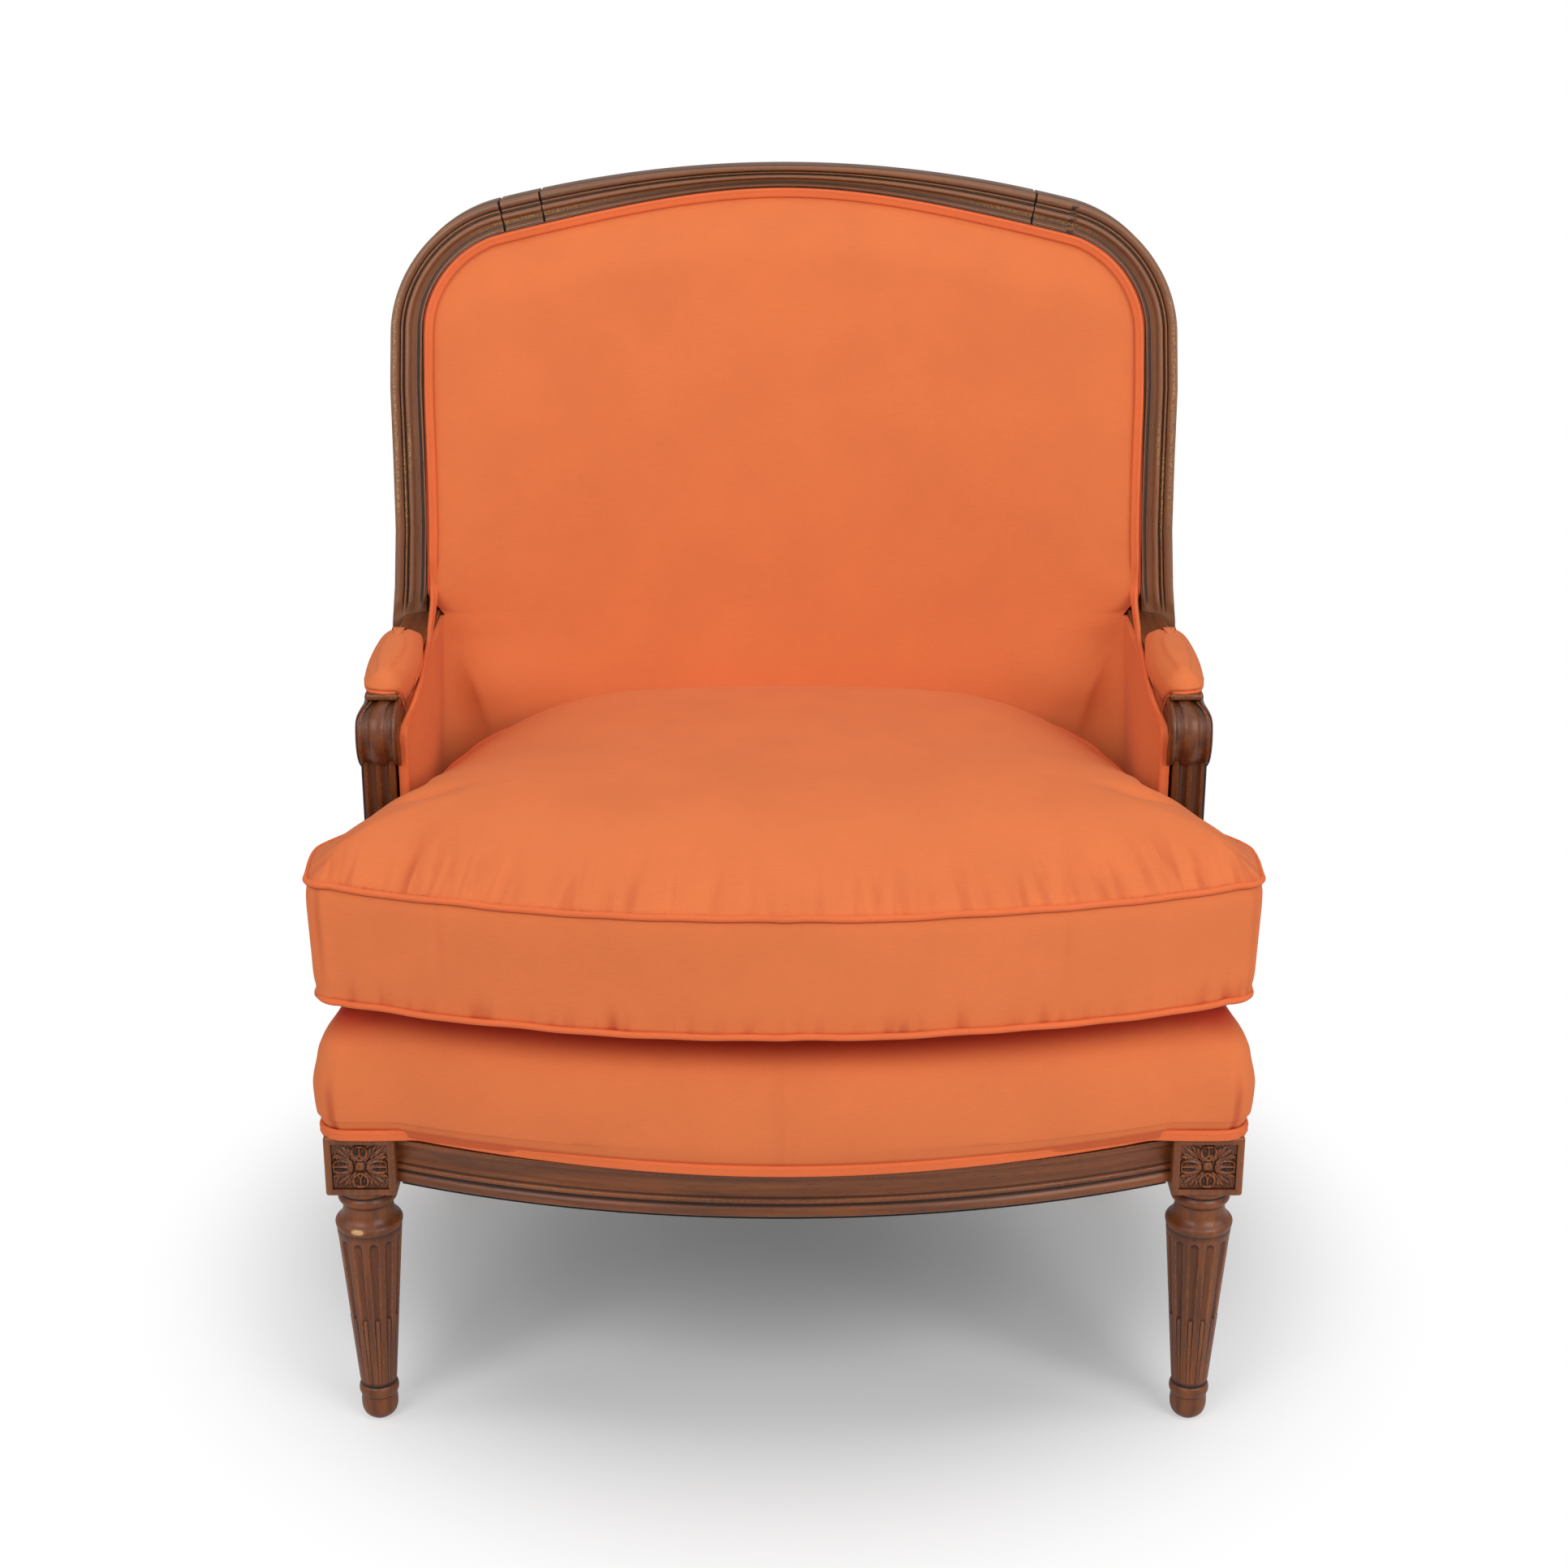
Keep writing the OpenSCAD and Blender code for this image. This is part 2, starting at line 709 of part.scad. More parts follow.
// Rows of the inside wall's grid: on the stuffed surface less set_back,
// or flat at that set back when stuffed is 0
function wall_low_row(z, stuffed, set_back) = [
  for (k = [-arm_cols - back_cols / 2 : arm_cols + back_cols / 2])
    let (
      half = back_cols / 2,
      p = abs(k) <= half ? 0.5 * k / half : sign(k) * (0.5 + 0.5 * (abs(k) - half) / arm_cols)
    )
    wall_point(p, z, stuffed * wall_depth(p, z) - set_back)];

function wall_up_row(t, stuffed, set_back, edge_gap) = [
  for (k = [-back_cols / 2 : back_cols / 2])
    let (
      c = k / (back_cols / 2),
      f = sign(c) * (1 - (1 - abs(c)) ^ 1.35),
      top = inner_edge_z(abs(f) * (back_edge_x - 1)) - edge_gap,
      z = 556 + (top - 556) * t
    )
    back_point(f, z, stuffed * back_depth(f, z) - set_back)];

// Solid between two copies of the wall grid, one behind the other
module wall_solid(front_back, rear_stuffed, rear_back, edge_gap) {
  low_n = 2 * arm_cols + back_cols + 1;
  up_n = back_cols + 1;
  low_m = len(low_zs);
  up_m = upper_rows + 1;
  half_count = low_n * low_m + up_n * up_m;
  points = concat(
    [for (z = low_zs) each wall_low_row(z, 1, front_back)],
    [for (i = [0:upper_rows]) each wall_up_row(i / upper_rows, 1, front_back, edge_gap)],
    [for (z = low_zs) each wall_low_row(z, rear_stuffed, rear_back)],
    [for (i = [0:upper_rows]) each wall_up_row(i / upper_rows, rear_stuffed, rear_back, edge_gap)]);
  up_start = low_n * low_m;
  cells = concat(
    [for (i = [0:low_m - 2], j = [0:low_n - 2]) let (a = i * low_n + j) [a, a + 1, a + low_n + 1, a + low_n]],
    [for (j = [0:up_n - 2])
      let (a = (low_m - 1) * low_n + arm_cols + j, b = up_start + j) [a, a + 1, b + 1, b]],
    [for (i = [0:up_m - 2], j = [0:up_n - 2])
      let (a = up_start + i * up_n + j) [a, a + 1, a + up_n + 1, a + up_n]]);
  rim = concat(
    [for (j = [0:low_n - 1]) j],
    [for (i = [1:low_m - 1]) i * low_n + low_n - 1],
    [for (j = [low_n - 2:-1:low_n - 1 - arm_cols]) (low_m - 1) * low_n + j],
    [for (i = [0:up_m - 1]) up_start + i * up_n + up_n - 1],
    [for (j = [up_n - 2:-1:0]) up_start + (up_m - 1) * up_n + j],
    [for (i = [up_m - 2:-1:0]) up_start + i * up_n],
    [for (j = [arm_cols:-1:0]) (low_m - 1) * low_n + j],
    [for (i = [low_m - 2:-1:1]) i * low_n]);
  front_faces = [for (c = cells) each [[c[0], c[2], c[1]], [c[0], c[3], c[2]]]];
  rear_faces = [for (f = front_faces) [f[0] + half_count, f[2] + half_count, f[1] + half_count]];
  n = len(rim);
  walls = [for (i = [0:n - 1])
    let (a = rim[i], b = rim[(i + 1) % n])
    each [[a, b, b + half_count], [a, b + half_count, a + half_count]]];
  polyhedron(points, concat(front_faces, rear_faces, walls));
}

module inside_back_cover() {
  place() color(orange_cloth) wall_solid(0, 1, cloth_t, 2.5);
}

module back_stuffing() {
  place() color(horsehair) wall_solid(cloth_t + gap, 0, 2.4, 3.5);
}

// Thin sheet between two grids of points, the front one and the rear one
module sheet(front, rear) {
  m = len(front);
  n = len(front[0]);
  count = m * n;
  cells = [for (i = [0:m - 2], j = [0:n - 2]) [i * n + j, i * n + j + 1, (i + 1) * n + j + 1, (i + 1) * n + j]];
  faces = [for (c = cells) each [[c[0], c[2], c[1]], [c[0], c[3], c[2]]]];
  rear_faces = [for (f = faces) [f[0] + count, f[2] + count, f[1] + count]];
  rim = concat(
    [for (j = [0:n - 1]) j], [for (i = [1:m - 1]) i * n + n - 1],
    [for (j = [n - 2:-1:0]) (m - 1) * n + j], [for (i = [m - 2:-1:1]) i * n]);
  walls = [for (i = [0:len(rim) - 1])
    let (a = rim[i], b = rim[(i + 1) % len(rim)])
    each [[a, b, b + count], [a, b + count, a + count]]];
  polyhedron([for (r = concat(front, rear)) each r], concat(faces, rear_faces, walls));
}

// Grid on the gondola surface, behind it by d, between two heights and over part of the width
function gondola_grid(x0, x1, cols, z0, z1, rows, d) = [
  for (i = [0:rows]) [
    for (j = [0:cols])
      let (
        x = x0 + (x1 - x0) * j / cols,
        top = min(z1, inner_edge_z(abs(x)) - 4),
        z = z0 + (top - z0) * i / rows
      )
      [x, gondola_y(x, z) + d, z]]];

web_w = 50;
web_t = 1;

module back_hessian() {
  x = 306;
  place() color(jute) sheet(
    gondola_grid(-x, x, 10, 316, crest_z, 5, 5),
    gondola_grid(-x, x, 10, 316, crest_z, 5, 6));
}

module back_webbing() {
  place() color(jute) {
    for (x = [-150, 0, 150])
      sheet(
        gondola_grid(x - web_w / 2, x + web_w / 2, 1, 316, 900, 1, 8),
        gondola_grid(x - web_w / 2, x + web_w / 2, 1, 316, 900, 1, 8 + web_t));
    for (z = [400, 540, 680])
      sheet(
        gondola_grid(-316, 316, 10, z - web_w / 2, z + web_w / 2, 1, 12),
        gondola_grid(-316, 316, 10, z - web_w / 2, z + web_w / 2, 1, 12 + web_t));
  }
}

module outside_back_cover() {
  x = stile_x - moulding_w - 2;
  place() color(orange_cloth) sheet(
    gondola_grid(-x, x, 14, seat_frame_z + 3, crest_z, 7, frame_t - 3),
    gondola_grid(-x, x, 14, seat_frame_z + 3, crest_z, 7, frame_t - 3 + cloth_t));
}

// Route of a double welt just inside the frame's inner edge on the right half, from the arm to the crest
function edge_route(inset, d, low_z) = concat(
  [for (z = [low_z, 660, 740, corner_z]) let (x = stile_x - moulding_w - inset) [x, gondola_y(x, z) + d, z]],
  [for (a = [14:16:78])
    let (r = corner_r - moulding_w - inset, x = corner_x + r * cos(a), z = corner_z + r * sin(a))
    [x, gondola_y(x, z) + d, z]],
  [for (x = [215, 165, 110, 55]) let (z = inner_edge_z(x) - inset) [x, gondola_y(x, z) + d, z]]);

function mirrored(route) = [for (i = [len(route) - 1:-1:0]) [-route[i][0], route[i][1], route[i][2]]];

welt_w = 8;
welt_t = 4.4;

module inside_back_double_welt() {
  stand = welt_t / 2 + 0.7;
  edge_rise = 3.8;
  arm_ps = [0.97, 0.9, 0.82, 0.77];
  stile_zs = [572, 590, 612];
  half = concat(
    [for (z = [300, 400, 500, 526]) [inside_arm_x - 1.6, inside_front_y - 3.4, z]],
    [[inside_arm_x - 3.4, inside_front_y - 1, 537]],
    [for (p = arm_ps) wall_point(p, 541, wall_depth(p, 541) + stand + 1.1)],
    [[302.5, 366, 545], [304, 375, 556]],
    [for (z = stile_zs) back_point(0.985, z, back_depth(0.985, z) + stand + 2.4)],
    edge_route(6.5, -stand - edge_rise, 630));
  half_outs = concat(
    [for (k = [0:3]) [0, -1, 0]], [[-0.6, -0.7, 0]],
    [for (p = arm_ps) [-1, 0, 0]],
    [[-1, -0.1, 0.1], [-0.9, -0.4, 0.1], [-0.75, -0.65, 0], [-0.6, -0.8, 0], [-0.5, -0.85, 0]],
    [for (p = edge_route(6.5, 0, 630)) unit([-p[0], -sqrt(gondola_r ^ 2 - p[0] ^ 2), 0])]);
  top = inner_edge_z(0) - 6.5;
  path = concat(half, [[0, gondola_y(0, top) - stand - edge_rise, top]], mirrored(half));
  outs = concat(half_outs, [[0, -1, 0]], mirrored(half_outs));
  place() color(orange_welt) skin(tube_rings(path, outs, double_section(welt_w, welt_t)));
}

module outside_back_double_welt() {
  d = frame_t + 2.2;
  low_z = seat_frame_z + 10;
  half = edge_route(5.5, d, low_z);
  half_outs = [for (p = half) unit([p[0], sqrt(gondola_r ^ 2 - p[0] ^ 2), 0])];
  top = inner_edge_z(0) - 5.5;
  bottom = [for (x = [-285:57:285]) [x, gondola_y(x, low_z - 3) + d + 0.8, low_z - 3]];
  path = concat(half, [[0, gondola_y(0, top) + d, top]], mirrored(half), bottom);
  outs = concat(half_outs, [[0, 1, 0]], mirrored(half_outs), [for (p = bottom) unit([p[0], gondola_r, 0])]);
  place() color(orange_welt) skin(tube_rings(path, outs, double_section(welt_w, welt_t), true), true);
}

module outside_arm_cover(side) {
  x = arm_x + arm_w / 2 - 6;
  low_z = seat_frame_z + gap;
  high_z = arm_low_z - gap;
  front_y = post_back_y + gap;
  rear_low = gondola_y(x, low_z) - 1.5;
  rear_high = gondola_y(x, high_z) - 1.5;
  place() on_side(side) color(orange_cloth)
    translate([-x, 0, 0]) rotate([0, -90, 0]) linear_extrude(cloth_t)
      polygon([[low_z, front_y], [high_z, scroll_y + 30], [high_z, rear_high], [low_z, rear_low]]);
}

module outside_arm_cover_left() { outside_arm_cover(0); }
module outside_arm_cover_right() { outside_arm_cover(1); }

module arm_hessian(side) {
  x = inside_arm_x + 5.4;
  low_z = seat_frame_z + gap;
  high_z = arm_low_z - gap;
  place() on_side(side) color(jute)
    translate([-x, 0, 0]) rotate([0, -90, 0]) linear_extrude(1)
      polygon([[low_z, post_back_y + gap], [high_z, scroll_y + 30], [high_z, 350], [low_z, 285]]);
}

module arm_hessian_left() { arm_hessian(0); }
module arm_hessian_right() { arm_hessian(1); }

// Plans with a T shape, for the sprung seat and the cushion

// Right half and mirrored left half of the plan, from the middle of the front round to the right
function t_plan(half_w, front_y, end_x, end_y, corner, ear_y, body_w, back_y, back_r) =
  let (
    sag = end_y - front_y,
    r = (end_x ^ 2 + sag ^ 2) / (2 * sag),
    front = [for (k = [1:3]) let (x = end_x * k / 3) [x, front_y + r - sqrt(r ^ 2 - x ^ 2)]],
    turn = [for (a = [-75, -45, -15]) [half_w - corner + corner * cos(a), end_y + corner + corner * sin(a)]],
    ear = [[half_w, ear_y - 40], [half_w, ear_y - 9], [half_w - 3, ear_y - 3], [half_w - 9, ear_y]],
    notch = [[body_w + 5, ear_y], [body_w, ear_y + 7], [body_w, ear_y + 80]],
    corner_cx = body_w - back_r,
    big_r = gondola_r - 45,
    cy = back_y - big_r,
    corner_cy = cy + sqrt((big_r - back_r) ^ 2 - corner_cx ^ 2),
    sweep = acos(corner_cx / (big_r - back_r)),
    rear = [for (k = [0:3]) let (a = sweep * k / 3) [corner_cx + back_r * cos(a), corner_cy + back_r * sin(a)]],
    bow = [for (k = [1:2]) let (a = sweep + (90 - sweep) * k / 3) [big_r * cos(a), cy + big_r * sin(a)]],
    half = concat(front, turn, ear, notch, rear, bow)
  )
  concat(
    [[0, front_y]], half, [[0, back_y]],
    [for (i = [len(half) - 1:-1:0]) [-half[i][0], half[i][1]]]);

t_middle = [0, 62];
// A ring drawn in from the plan: square to its edge for the first few mm, and then towards its middle
function inset_ring(plan, middle, inset, z) =
  let (n = len(plan), square_inset = min(inset, 9))
  [for (i = [0:n - 1])
    let (
      edge = plan[(i + 1) % n] - plan[(i + n - 1) % n],
      p = plan[i] + square_inset * unit([-edge[1], edge[0]]),
      d = p - middle,
      q = middle + d * (1 - min((inset - square_inset) / norm(d), 0.62))
    )
    [q[0], q[1], z]];

// Sprung seat

deck_body_w = 292;
function deck_plan() = t_plan(deck_half_w, -82, 300, -31, 24, 104, deck_body_w, 383, 66);

// Inset and height of the seat's surface from its tacked edge to the flat of the top
deck_profile = [
  [11, seat_frame_z + 0.4], [10.5, 271.8], [3, 275.5], [-1.5, 288], [-2.5, 312], [-1, 338], [6, 358],
  [17, deck_z - 6], [34, deck_z], [130, deck_z]];

// The lower edge of the cloth rises with its double welt towards the blocks
welt_climb = 3.8;
function deck_lift(x, z) = z > seat_frame_z + 1 && z < 280 ? welt_climb * smooth(abs(x) / 300) : 0;
function deck_ring(inset, z) = [
  for (q = inset_ring(deck_plan(), t_middle, inset, z)) [q[0], q[1], z + deck_lift(q[0], z)]];

module seat_cover() {
  n = len(deck_profile);
  outer_rings = [for (i = [n - 1:-1:0]) deck_ring(deck_profile[i][0], deck_profile[i][1])];
  inner_rings = [for (i = [0:n - 1])
    deck_ring(deck_profile[i][0] + cloth_t, deck_profile[i][1] - (i > 6 ? cloth_t : 0))];
  place() color(orange_cloth) poled_skin(
    concat(outer_rings, inner_rings),
    [t_middle[0], t_middle[1], deck_z], [t_middle[0], t_middle[1], deck_z - cloth_t]);
}

well_inset = 62;
well_z = 342;

module seat_stuffing() {
  shrink = cloth_t + soft_gap;
  outer = [for (i = [len(deck_profile) - 1:-1:0])
    deck_ring(deck_profile[i][0] + shrink, deck_profile[i][1] - (i > 6 ? shrink : 0))];
  well = [[well_inset, seat_frame_z + 0.4], [well_inset, well_z], [150, well_z]];
  place() color(horsehair) poled_skin(
    concat(outer, [for (p = well) deck_ring(p[0], p[1])]),
    [t_middle[0], t_middle[1], deck_z - shrink], [t_middle[0], t_middle[1], well_z]);
}

module spring_hessian() {
  plan = [for (p = inset_ring(deck_plan(), t_middle, well_inset + 1, 0)) [p[0], p[1]]];
  place() color(jute) translate([0, 0, well_z - 1.6]) linear_extrude(1.2) polygon(plan);
}

// Coil springs with a waist, tied between the webbing and the hessian
spring_low_z = rail_low_z + 2;
spring_high_z = well_z - 3.6;
spring_end_r = 38;
spring_waist_r = 25;
spring_wire_r = 1.7;
spring_curls = 3;
spring_path = [for (k = [0:8 * spring_curls])
  let (t = k / (8 * spring_curls), r = spring_end_r - (spring_end_r - spring_waist_r) * sin(180 * t))
  [r * cos(45 * k), r * sin(45 * k), spring_low_z + (spring_high_z - spring_low_z) * t]];
spring_gap = min([for (i = [0:8 * spring_curls], j = [i + 4:8 * spring_curls])
  norm(spring_path[i] - spring_path[j]) - 2 * spring_wire_r]);
echo(spring_gap = spring_gap);

module seat_springs() {
  outs = [for (p = spring_path) [0, 0, 1]];
  place() color(steel) for (x = [-165, 0, 165], y = [50, 150, 245])
    translate([x, y, 0]) skin(tube_rings(spring_path, outs, round_section(spring_wire_r, 6)));
}

function front_rail_y(x) = front_rail_cy - sqrt(front_rail_r ^ 2 - x ^ 2);
function rear_rail_y(x) = rear_rail_cy + sqrt(rear_rail_r ^ 2 - x ^ 2);

module seat_webbing() {
  place() color(jute) {
    for (x = [-225, -150, -75, 0, 75, 150, 225])
      translate([x - web_w / 2, front_rail_y(x) + 16, rail_low_z - web_t])
        cube([web_w, rear_rail_y(x) - front_rail_y(x) - 22, web_t]);
    for (y = [70, 140, 210, 280])
      translate([-side_rail_out_x + 12, y - web_w / 2, rail_low_z - 2 * web_t - 0.1])
        cube([2 * side_rail_out_x - 24, web_w, web_t]);
  }
}

module dust_cover() {
  z = rail_low_z - 4;
  place() color(black_cambric) translate([0, 0, z]) linear_extrude(0.8) intersection() {
    translate([0, front_rail_cy]) circle(r = front_rail_r - 8, $fn = 360);
    translate([0, rear_rail_cy]) circle(r = rear_rail_r + 4, $fn = 360);
    polygon([
      [-block_in_x + 1, -90], [block_in_x - 1, -90], [block_in_x - 1, block_w / 2 + 1],
      [side_rail_out_x - 8, block_w / 2 + 1], [side_rail_out_x - 8, 308], [294, 308], [294, 450],
      [-294, 450], [-294, 308], [-side_rail_out_x + 8, 308], [-side_rail_out_x + 8, block_w / 2 + 1],
      [-block_in_x + 1, block_w / 2 + 1]]);
  }
}

// Double welt along the foot of the sprung seat, from post to post round the front
module seat_double_welt() {
  half = concat(
    [[357.6, 106], [357.6, 40], [frame_half_w + 2.8, 26], [frame_half_w + 2.8, -14]],
    [for (a = [-15, -45, -75]) [347 + 15.8 * cos(a), -15 + 15.8 * sin(a)]],
    [[326, -30.8], [304, -30.8]],
    [for (x = [280, 210, 140, 70]) [x, front_rail_y(x) - 1.4]]);
  outs = concat(
    [for (k = [0:3]) [1, 0, 0]], [for (a = [-15, -45, -75]) [cos(a), sin(a), 0]],
    [[0, -1, 0], [0, -1, 0]], [for (x = [280, 210, 140, 70]) unit([x, -front_rail_r, 0])]);
  lift = [for (p = half) [p[0], p[1], seat_frame_z + 0.9 + welt_climb * smooth(p[0] / 300)]];
  path = concat(lift, [[0, front_rail_y(0) - 1.4, seat_frame_z + 0.9]], mirrored(lift));
  all_outs = concat(outs, [[0, -1, 0]], mirrored(outs));
  place() color(orange_welt) skin(tube_rings(path, all_outs, double_section(welt_w + 1, welt_t)));
}

// Loose cushion

cushion_body_w = 290;
cushion_low_z = deck_z + 0.6;
// The cushion narrows towards the back
cushion_taper = 0.09;
cushion_taper_y = 190;
cushion_taper_run = 150;
function cushion_plan(z) = [
  for (q = t_plan(
    cushion_half_w, -95, 338, -29, 24, 94, cushion_body_w, 396 + rake * (z - cushion_low_z), 100))
    [q[0] * (1 - cushion_taper * smooth((q[1] - cushion_taper_y) / cushion_taper_run)), q[1]]];

bottom_profile = [
  [160, cushion_low_z], [40, cushion_low_z], [12, cushion_low_z + 0.6], [3.4, cushion_low_z + 2.6]];
boxing_profile = [
  [0, cushion_low_z + 6], [-2.2, cushion_low_z + 24], [-3, cushion_low_z + 52], [-2.2, cushion_welt_z - 20],
  [0, cushion_welt_z - 3]];
top_profile = [
  [3.6, cushion_welt_z + 0.8], [12, cushion_welt_z + 8.5], [36, cushion_crown_z - 27], [80, cushion_crown_z - 12],
  [160, cushion_crown_z - 2.4]];

// Ring of the cushion from a profile entry of inset and height, drawn in by shrink and raised by lift
function cushion_ring(entry, shrink, lift) =
  inset_ring(
    cushion_plan(min(entry[1], cushion_welt_z)), t_middle, entry[0] + shrink, entry[1] + lift);
function downwards(list) = [for (i = [len(list) - 1:-1:0]) list[i]];

module cushion_bottom_panel() {
  inner = [for (p = bottom_profile) cushion_ring(p, 0, cloth_t)];
  outer = [for (p = downwards(bottom_profile)) cushion_ring(p, 0, 0)];
  place() color(orange_cloth) poled_skin(
    concat(inner, outer),
    [t_middle[0], t_middle[1], cushion_low_z + cloth_t], [t_middle[0], t_middle[1], cushion_low_z]);
}

module cushion_boxing() {
  inner = [for (p = boxing_profile) cushion_ring(p, cloth_t, 0)];
  outer = [for (p = downwards(boxing_profile)) cushion_ring(p, 0, 0)];
  place() color(orange_cloth) skin(concat(inner, outer), true);
}

module cushion_top_panel() {
  outer = [for (p = downwards(top_profile)) cushion_ring(p, 0, 0)];
  inner = [for (p = top_profile) cushion_ring(p, 0, -cloth_t)];
  place() color(orange_cloth) poled_skin(
    concat(outer, inner),
    [t_middle[0], t_middle[1], cushion_crown_z], [t_middle[0], t_middle[1], cushion_crown_z - cloth_t]);
}

module cushion_filling() {
  shrink = cloth_t + soft_gap;
  low = [for (p = bottom_profile) cushion_ring(p, shrink, shrink)];
  box = [for (p = boxing_profile) cushion_ring(p, shrink, 0)];
  top = [for (p = top_profile) cushion_ring(p, shrink, -2 * shrink)];
  place() color(feather_tick) poled_skin(
    downwards(concat(low, box, top)),
    [t_middle[0], t_middle[1], cushion_crown_z - 2 * shrink], [t_middle[0], t_middle[1], cushion_low_z + shrink]);
}

module cushion_welt(z) {
  path = inset_ring(cushion_plan(z), t_middle, -0.6, z);
  outs = [for (p = path) [0, 0, 1]];
  place() color(orange_welt) skin(tube_rings(path, outs, round_section(welt_d / 2, 6), true), true);
}

module cushion_top_welt() { cushion_welt(cushion_welt_z); }
module cushion_bottom_welt() { cushion_welt(cushion_low_z + 3); }

// Arm pads

// Plan of a left pad, from the rear end down its outer side and back up its inner side
pad_plan = [
  [-330, 337], [-339, 334], [-343.5, 322], [-344.5, 290], [-345, 240], [-344.5, 190], [-343, 165],
  [-337, 157],
  [-322, 156], [-306, 158], [-300, 167], [-298.5, 190], [-299, 220], [-303, 260], [-310, 300], [-317, 328],
  [-321, 335]];
pad_middle = [-322, 235];
pad_profile = [
  [2, arm_top_z + 2.5], [-1, arm_top_z + 7], [1, arm_top_z + 15], [6, pad_top_z - 5], [13, pad_top_z - 1]];
function pad_ring(entry, shrink) =
  inset_ring(pad_plan, pad_middle, entry[0] + shrink, entry[1] - (entry[0] > 5 ? shrink : 0));

module arm_pad_cover(side) {
  outer = [for (p = downwards(pad_profile)) pad_ring(p, 0)];
  inner = [for (p = pad_profile) pad_ring(p, cloth_t)];
  place() on_side(side) color(orange_cloth) poled_skin(
    concat(outer, inner),
    [pad_middle[0], pad_middle[1], pad_top_z], [pad_middle[0], pad_middle[1], pad_top_z - cloth_t]);
}

module arm_pad_cover_left() { arm_pad_cover(0); }
module arm_pad_cover_right() { arm_pad_cover(1); }

module arm_pad_stuffing(side) {
  shrink = cloth_t + soft_gap;
  foot = inset_ring(pad_plan, pad_middle, pad_profile[0][0] + shrink + 2, arm_top_z + gap);
  rings = [for (p = downwards(pad_profile)) pad_ring(p, shrink)];
  place() on_side(side) color(horsehair) poled_skin(
    concat(rings, [foot]),
    [pad_middle[0], pad_middle[1], pad_top_z - shrink], [pad_middle[0], pad_middle[1], arm_top_z + gap]);
}

module arm_pad_stuffing_left() { arm_pad_stuffing(0); }
module arm_pad_stuffing_right() { arm_pad_stuffing(1); }

module arm_pad_welt(side) {
  path = inset_ring(pad_plan, pad_middle, 1.5, arm_top_z + gap + 0.8);
  outs = [for (p = path) [0, 0, 1]];
  place() on_side(side) color(orange_welt) skin(tube_rings(path, outs, round_section(1.1, 6), true), true);
}

module arm_pad_welt_left() { arm_pad_welt(0); }
module arm_pad_welt_right() { arm_pad_welt(1); }

front_leg_left();
front_leg_right();
rear_leg_stile_left();
rear_leg_stile_right();
front_seat_rail();
side_seat_rail_left();
side_seat_rail_right();
rear_seat_rail();
back_stay_rail();
crest_rail();
crest_splice_left();
crest_splice_right();
crest_dowels();
arm_rail_left();
arm_rail_right();
arm_post_left();
arm_post_right();
corner_blocks();
corner_block_screws();
seat_webbing();
seat_springs();
spring_hessian();
seat_stuffing();
seat_cover();
seat_double_welt();
dust_cover();
back_webbing();
back_hessian();
arm_hessian_left();
arm_hessian_right();
back_stuffing();
inside_back_cover();
inside_back_double_welt();
outside_back_cover();
outside_back_double_welt();
outside_arm_cover_left();
outside_arm_cover_right();
arm_pad_stuffing_left();
arm_pad_stuffing_right();
arm_pad_cover_left();
arm_pad_cover_right();
arm_pad_welt_left();
arm_pad_welt_right();
cushion_top_panel();
cushion_boxing();
cushion_bottom_panel();
cushion_filling();
cushion_top_welt();
cushion_bottom_welt();
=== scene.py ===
import math

import bmesh
import bpy
import numpy as np
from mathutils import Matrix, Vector


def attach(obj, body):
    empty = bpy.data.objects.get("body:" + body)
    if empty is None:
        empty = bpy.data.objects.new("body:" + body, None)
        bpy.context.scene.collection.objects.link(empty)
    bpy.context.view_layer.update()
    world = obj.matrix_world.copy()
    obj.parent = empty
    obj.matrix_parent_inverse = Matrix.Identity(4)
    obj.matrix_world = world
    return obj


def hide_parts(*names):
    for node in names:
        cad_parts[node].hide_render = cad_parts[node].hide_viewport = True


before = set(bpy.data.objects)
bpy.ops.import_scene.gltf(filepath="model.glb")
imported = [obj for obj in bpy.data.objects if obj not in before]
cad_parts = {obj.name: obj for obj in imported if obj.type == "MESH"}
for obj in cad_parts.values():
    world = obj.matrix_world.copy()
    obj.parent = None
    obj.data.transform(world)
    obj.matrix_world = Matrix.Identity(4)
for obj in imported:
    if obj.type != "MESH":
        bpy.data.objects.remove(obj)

bpy.ops.object.select_all(action="DESELECT")
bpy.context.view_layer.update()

# Camera: it stands in front of the middle of the chair, a little above the crest,
# and looks down on the seat, as the photograph was taken.
bpy.ops.object.camera_add(location=(0, -2.05515, 1.186), rotation=(math.radians(70.61), 0, 0))
camera = bpy.context.object
camera.data.lens = 58.53
camera.data.sensor_width = 36
bpy.context.scene.camera = camera
bpy.context.scene.view_settings.view_transform = "Standard"


